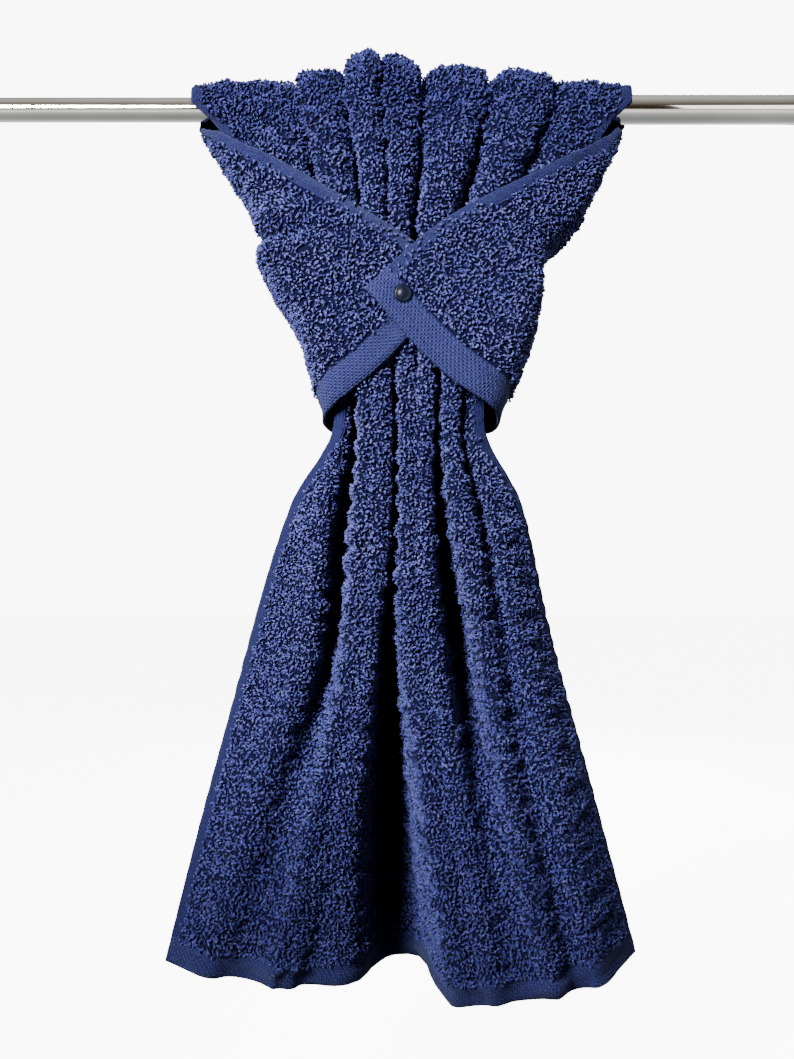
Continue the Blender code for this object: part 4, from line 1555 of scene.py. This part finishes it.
def cap_material():
    """Glossy navy plastic, with fine handling scratches in its gloss."""
    graph = Graph("popper_gloss")
    coordinates = graph.add("ShaderNodeTexCoord").outputs["Object"]
    wear = graph.noise(coordinates, SCRATCH_SCALE, 4.0)
    colour = graph.ramp(wear, (0.3, CAP_DARK), (0.8, CAP_SCRATCHED))
    graph.link(colour, graph.shader.inputs["Base Color"])
    rough = graph.math("MULTIPLY_ADD", wear, *CAP_ROUGHNESS)
    graph.link(rough, graph.shader.inputs["Roughness"])
    graph.shader.inputs["Specular IOR Level"].default_value = CAP_SPECULAR
    graph.bump(wear, SCRATCH_BUMP, 0.2)
    return graph.material


popper = turned_piece("popper_dome", CAP_PROFILE, CAP_SIDES, cap_material())
turn_to_seat = Vector(seat_normal).to_track_quat("X", "Z").to_matrix().to_4x4()
place = Matrix.Translation(Vector(seat_centre + seat_normal * CAP_LIFT))
popper.data.transform(place @ turn_to_seat)
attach(popper, "root")
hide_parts("popper_cap")
cap_radius = max(radius for height, radius in CAP_PROFILE)
print("popper", round(2 * cap_radius / MM, 1), "mm across")

# %% [markdown]

# %% [markdown]
# ## Light and floor
# The towel hangs in soft daylight from the front and above, before a white ground. A soft lamp
# on the left does most of it, a second one fills from the right, and the world lifts the
# shadows. The tubes need something dark to reflect, or chrome reads as white plastic. So
# reflections see a room with a bright floor, a warm dark band at eye level and a beige ceiling,
# while the cloth gets only a dim sky from the world, so that its grooves stay dark. The
# background itself is white. The floor glows to be as pale, but it is kept out of the light on
# the towel. Three more lamps behind the rail show the back and the sides.

# %% Floor, lamps and world
FLOOR_AT = -0.80
FLOOR_HALF = 6.0
FLOOR_CORNERS = ((-1, -1), (1, -1), (1, 1), (-1, 1))
FLOOR_DULL = (0.86, 0.86, 0.85, 1.0)
FLOOR_PALE = (0.90, 0.90, 0.89, 1.0)
FLOOR_GLOW = 8.0
SHADE_FROM_BELOW = (0.030, 0.030, 0.050, 1.0)
SHADE_FROM_ABOVE = (0.11, 0.12, 0.15, 1.0)
REFLECTED_ROOM = (
    # share of the way from straight down to straight up, colour
    (0.00, (0.30, 0.34, 0.34, 1.0)),
    (0.17, (0.70, 0.72, 0.70, 1.0)),
    (0.25, (1.50, 1.48, 1.42, 1.0)),
    (0.38, (1.20, 1.14, 1.02, 1.0)),
    (0.41, (0.030, 0.020, 0.014, 1.0)),
    (0.61, (0.055, 0.038, 0.025, 1.0)),
    (0.72, (0.17, 0.150, 0.12, 1.0)),
    (0.90, (0.42, 0.40, 0.36, 1.0)),
    (1.00, (0.75, 0.75, 0.73, 1.0)),
)
CAMERA_WHITE = 9.0
LAMPS = (
    # name, place (m), aim (m), size (m), power (W), spread (degrees)
    ("key", (-0.75, -1.35, 0.30), (0.0, 0.0, -0.22), 0.50, 19.0, 48),
    ("fill", (1.0, -1.6, 0.1), (0.0, 0.0, -0.2), 0.8, 7.0, 180),
    ("back", (0.4, 1.9, 0.5), (0.0, 0.0, -0.25), 1.0, 80.0, 180),
    ("left", (-1.7, 0.5, 0.2), (0.0, 0.0, -0.25), 0.8, 22.0, 180),
    ("right", (1.7, 0.5, 0.2), (0.0, 0.0, -0.25), 0.8, 22.0, 180),
)


def add_floor():
    """A plain pale floor, well below the hem."""
    graph = Graph("pale_floor")
    coordinates = graph.add("ShaderNodeTexCoord").outputs["Object"]
    cloud = graph.noise(coordinates, 2.0, 2.0)
    colour = graph.ramp(cloud, (0.3, FLOOR_DULL), (0.7, FLOOR_PALE))
    graph.link(colour, graph.shader.inputs["Base Color"])
    graph.constants(Roughness=0.9, Emission_Strength=FLOOR_GLOW)
    graph.shader.inputs["Emission Color"].default_value = (1.0, 1.0, 1.0, 1.0)
    mesh = bpy.data.meshes.new("floor")
    corners = [(x * FLOOR_HALF, y * FLOOR_HALF, FLOOR_AT) for x, y in FLOOR_CORNERS]
    mesh.from_pydata(corners, [], [(0, 1, 2, 3)])
    floor = add_piece("floor", mesh, graph.material)
    floor.visible_diffuse = False
    floor.visible_glossy = False
    return floor


def add_lamp(name, place, aim, size, power, spread):
    """A square soft lamp that looks at a point."""
    light = bpy.data.lights.new(name, "AREA")
    light.size = size
    light.energy = power
    light.spread = math.radians(spread)
    lamp = bpy.data.objects.new(name, light)
    lamp.location = place
    lamp.rotation_euler = (Vector(aim) - Vector(place)).to_track_quat("-Z", "Y").to_euler()
    bpy.context.scene.collection.objects.link(lamp)


def add_world():
    """White to the camera, a banded room to reflections, and a dim sky to the rest."""
    world = bpy.data.worlds.new("soft_room")
    world.use_nodes = True
    nodes, link = world.node_tree.nodes, world.node_tree.links.new
    way = nodes.new("ShaderNodeTexCoord")
    parts = nodes.new("ShaderNodeSeparateXYZ")
    link(way.outputs["Generated"], parts.inputs[0])
    rise = nodes.new("ShaderNodeMapRange")
    rise.inputs[1].default_value = -1.0
    link(parts.outputs[2], rise.inputs[0])
    room = nodes.new("ShaderNodeValToRGB")
    stops = room.color_ramp.elements
    while len(stops) < len(REFLECTED_ROOM):
        stops.new(0.5)
    for stop, (place, colour) in zip(stops, REFLECTED_ROOM):
        stop.position, stop.color = place, colour
    link(rise.outputs[0], room.inputs[0])
    shade = nodes.new("ShaderNodeMix")
    shade.data_type = "RGBA"
    link(rise.outputs[0], shade.inputs[0])
    shade.inputs[6].default_value = SHADE_FROM_BELOW
    shade.inputs[7].default_value = SHADE_FROM_ABOVE
    seen = nodes.new("ShaderNodeLightPath")
    colour = shade.outputs[2]
    white = (CAMERA_WHITE, CAMERA_WHITE, CAMERA_WHITE, 1.0)
    for ray, other in (("Is Glossy Ray", room.outputs[0]), ("Is Camera Ray", white)):
        choose = nodes.new("ShaderNodeMix")
        choose.data_type = "RGBA"
        link(seen.outputs[ray], choose.inputs[0])
        link(colour, choose.inputs[6])
        if ray == "Is Camera Ray":
            choose.inputs[7].default_value = other
        else:
            link(other, choose.inputs[7])
        colour = choose.outputs[2]
    link(colour, nodes["Background"].inputs[0])
    bpy.context.scene.world = world


add_floor()
for lamp in LAMPS:
    add_lamp(*lamp)
add_world()
print("floor at", FLOOR_AT, "m, lamps", [lamp[0] for lamp in LAMPS])
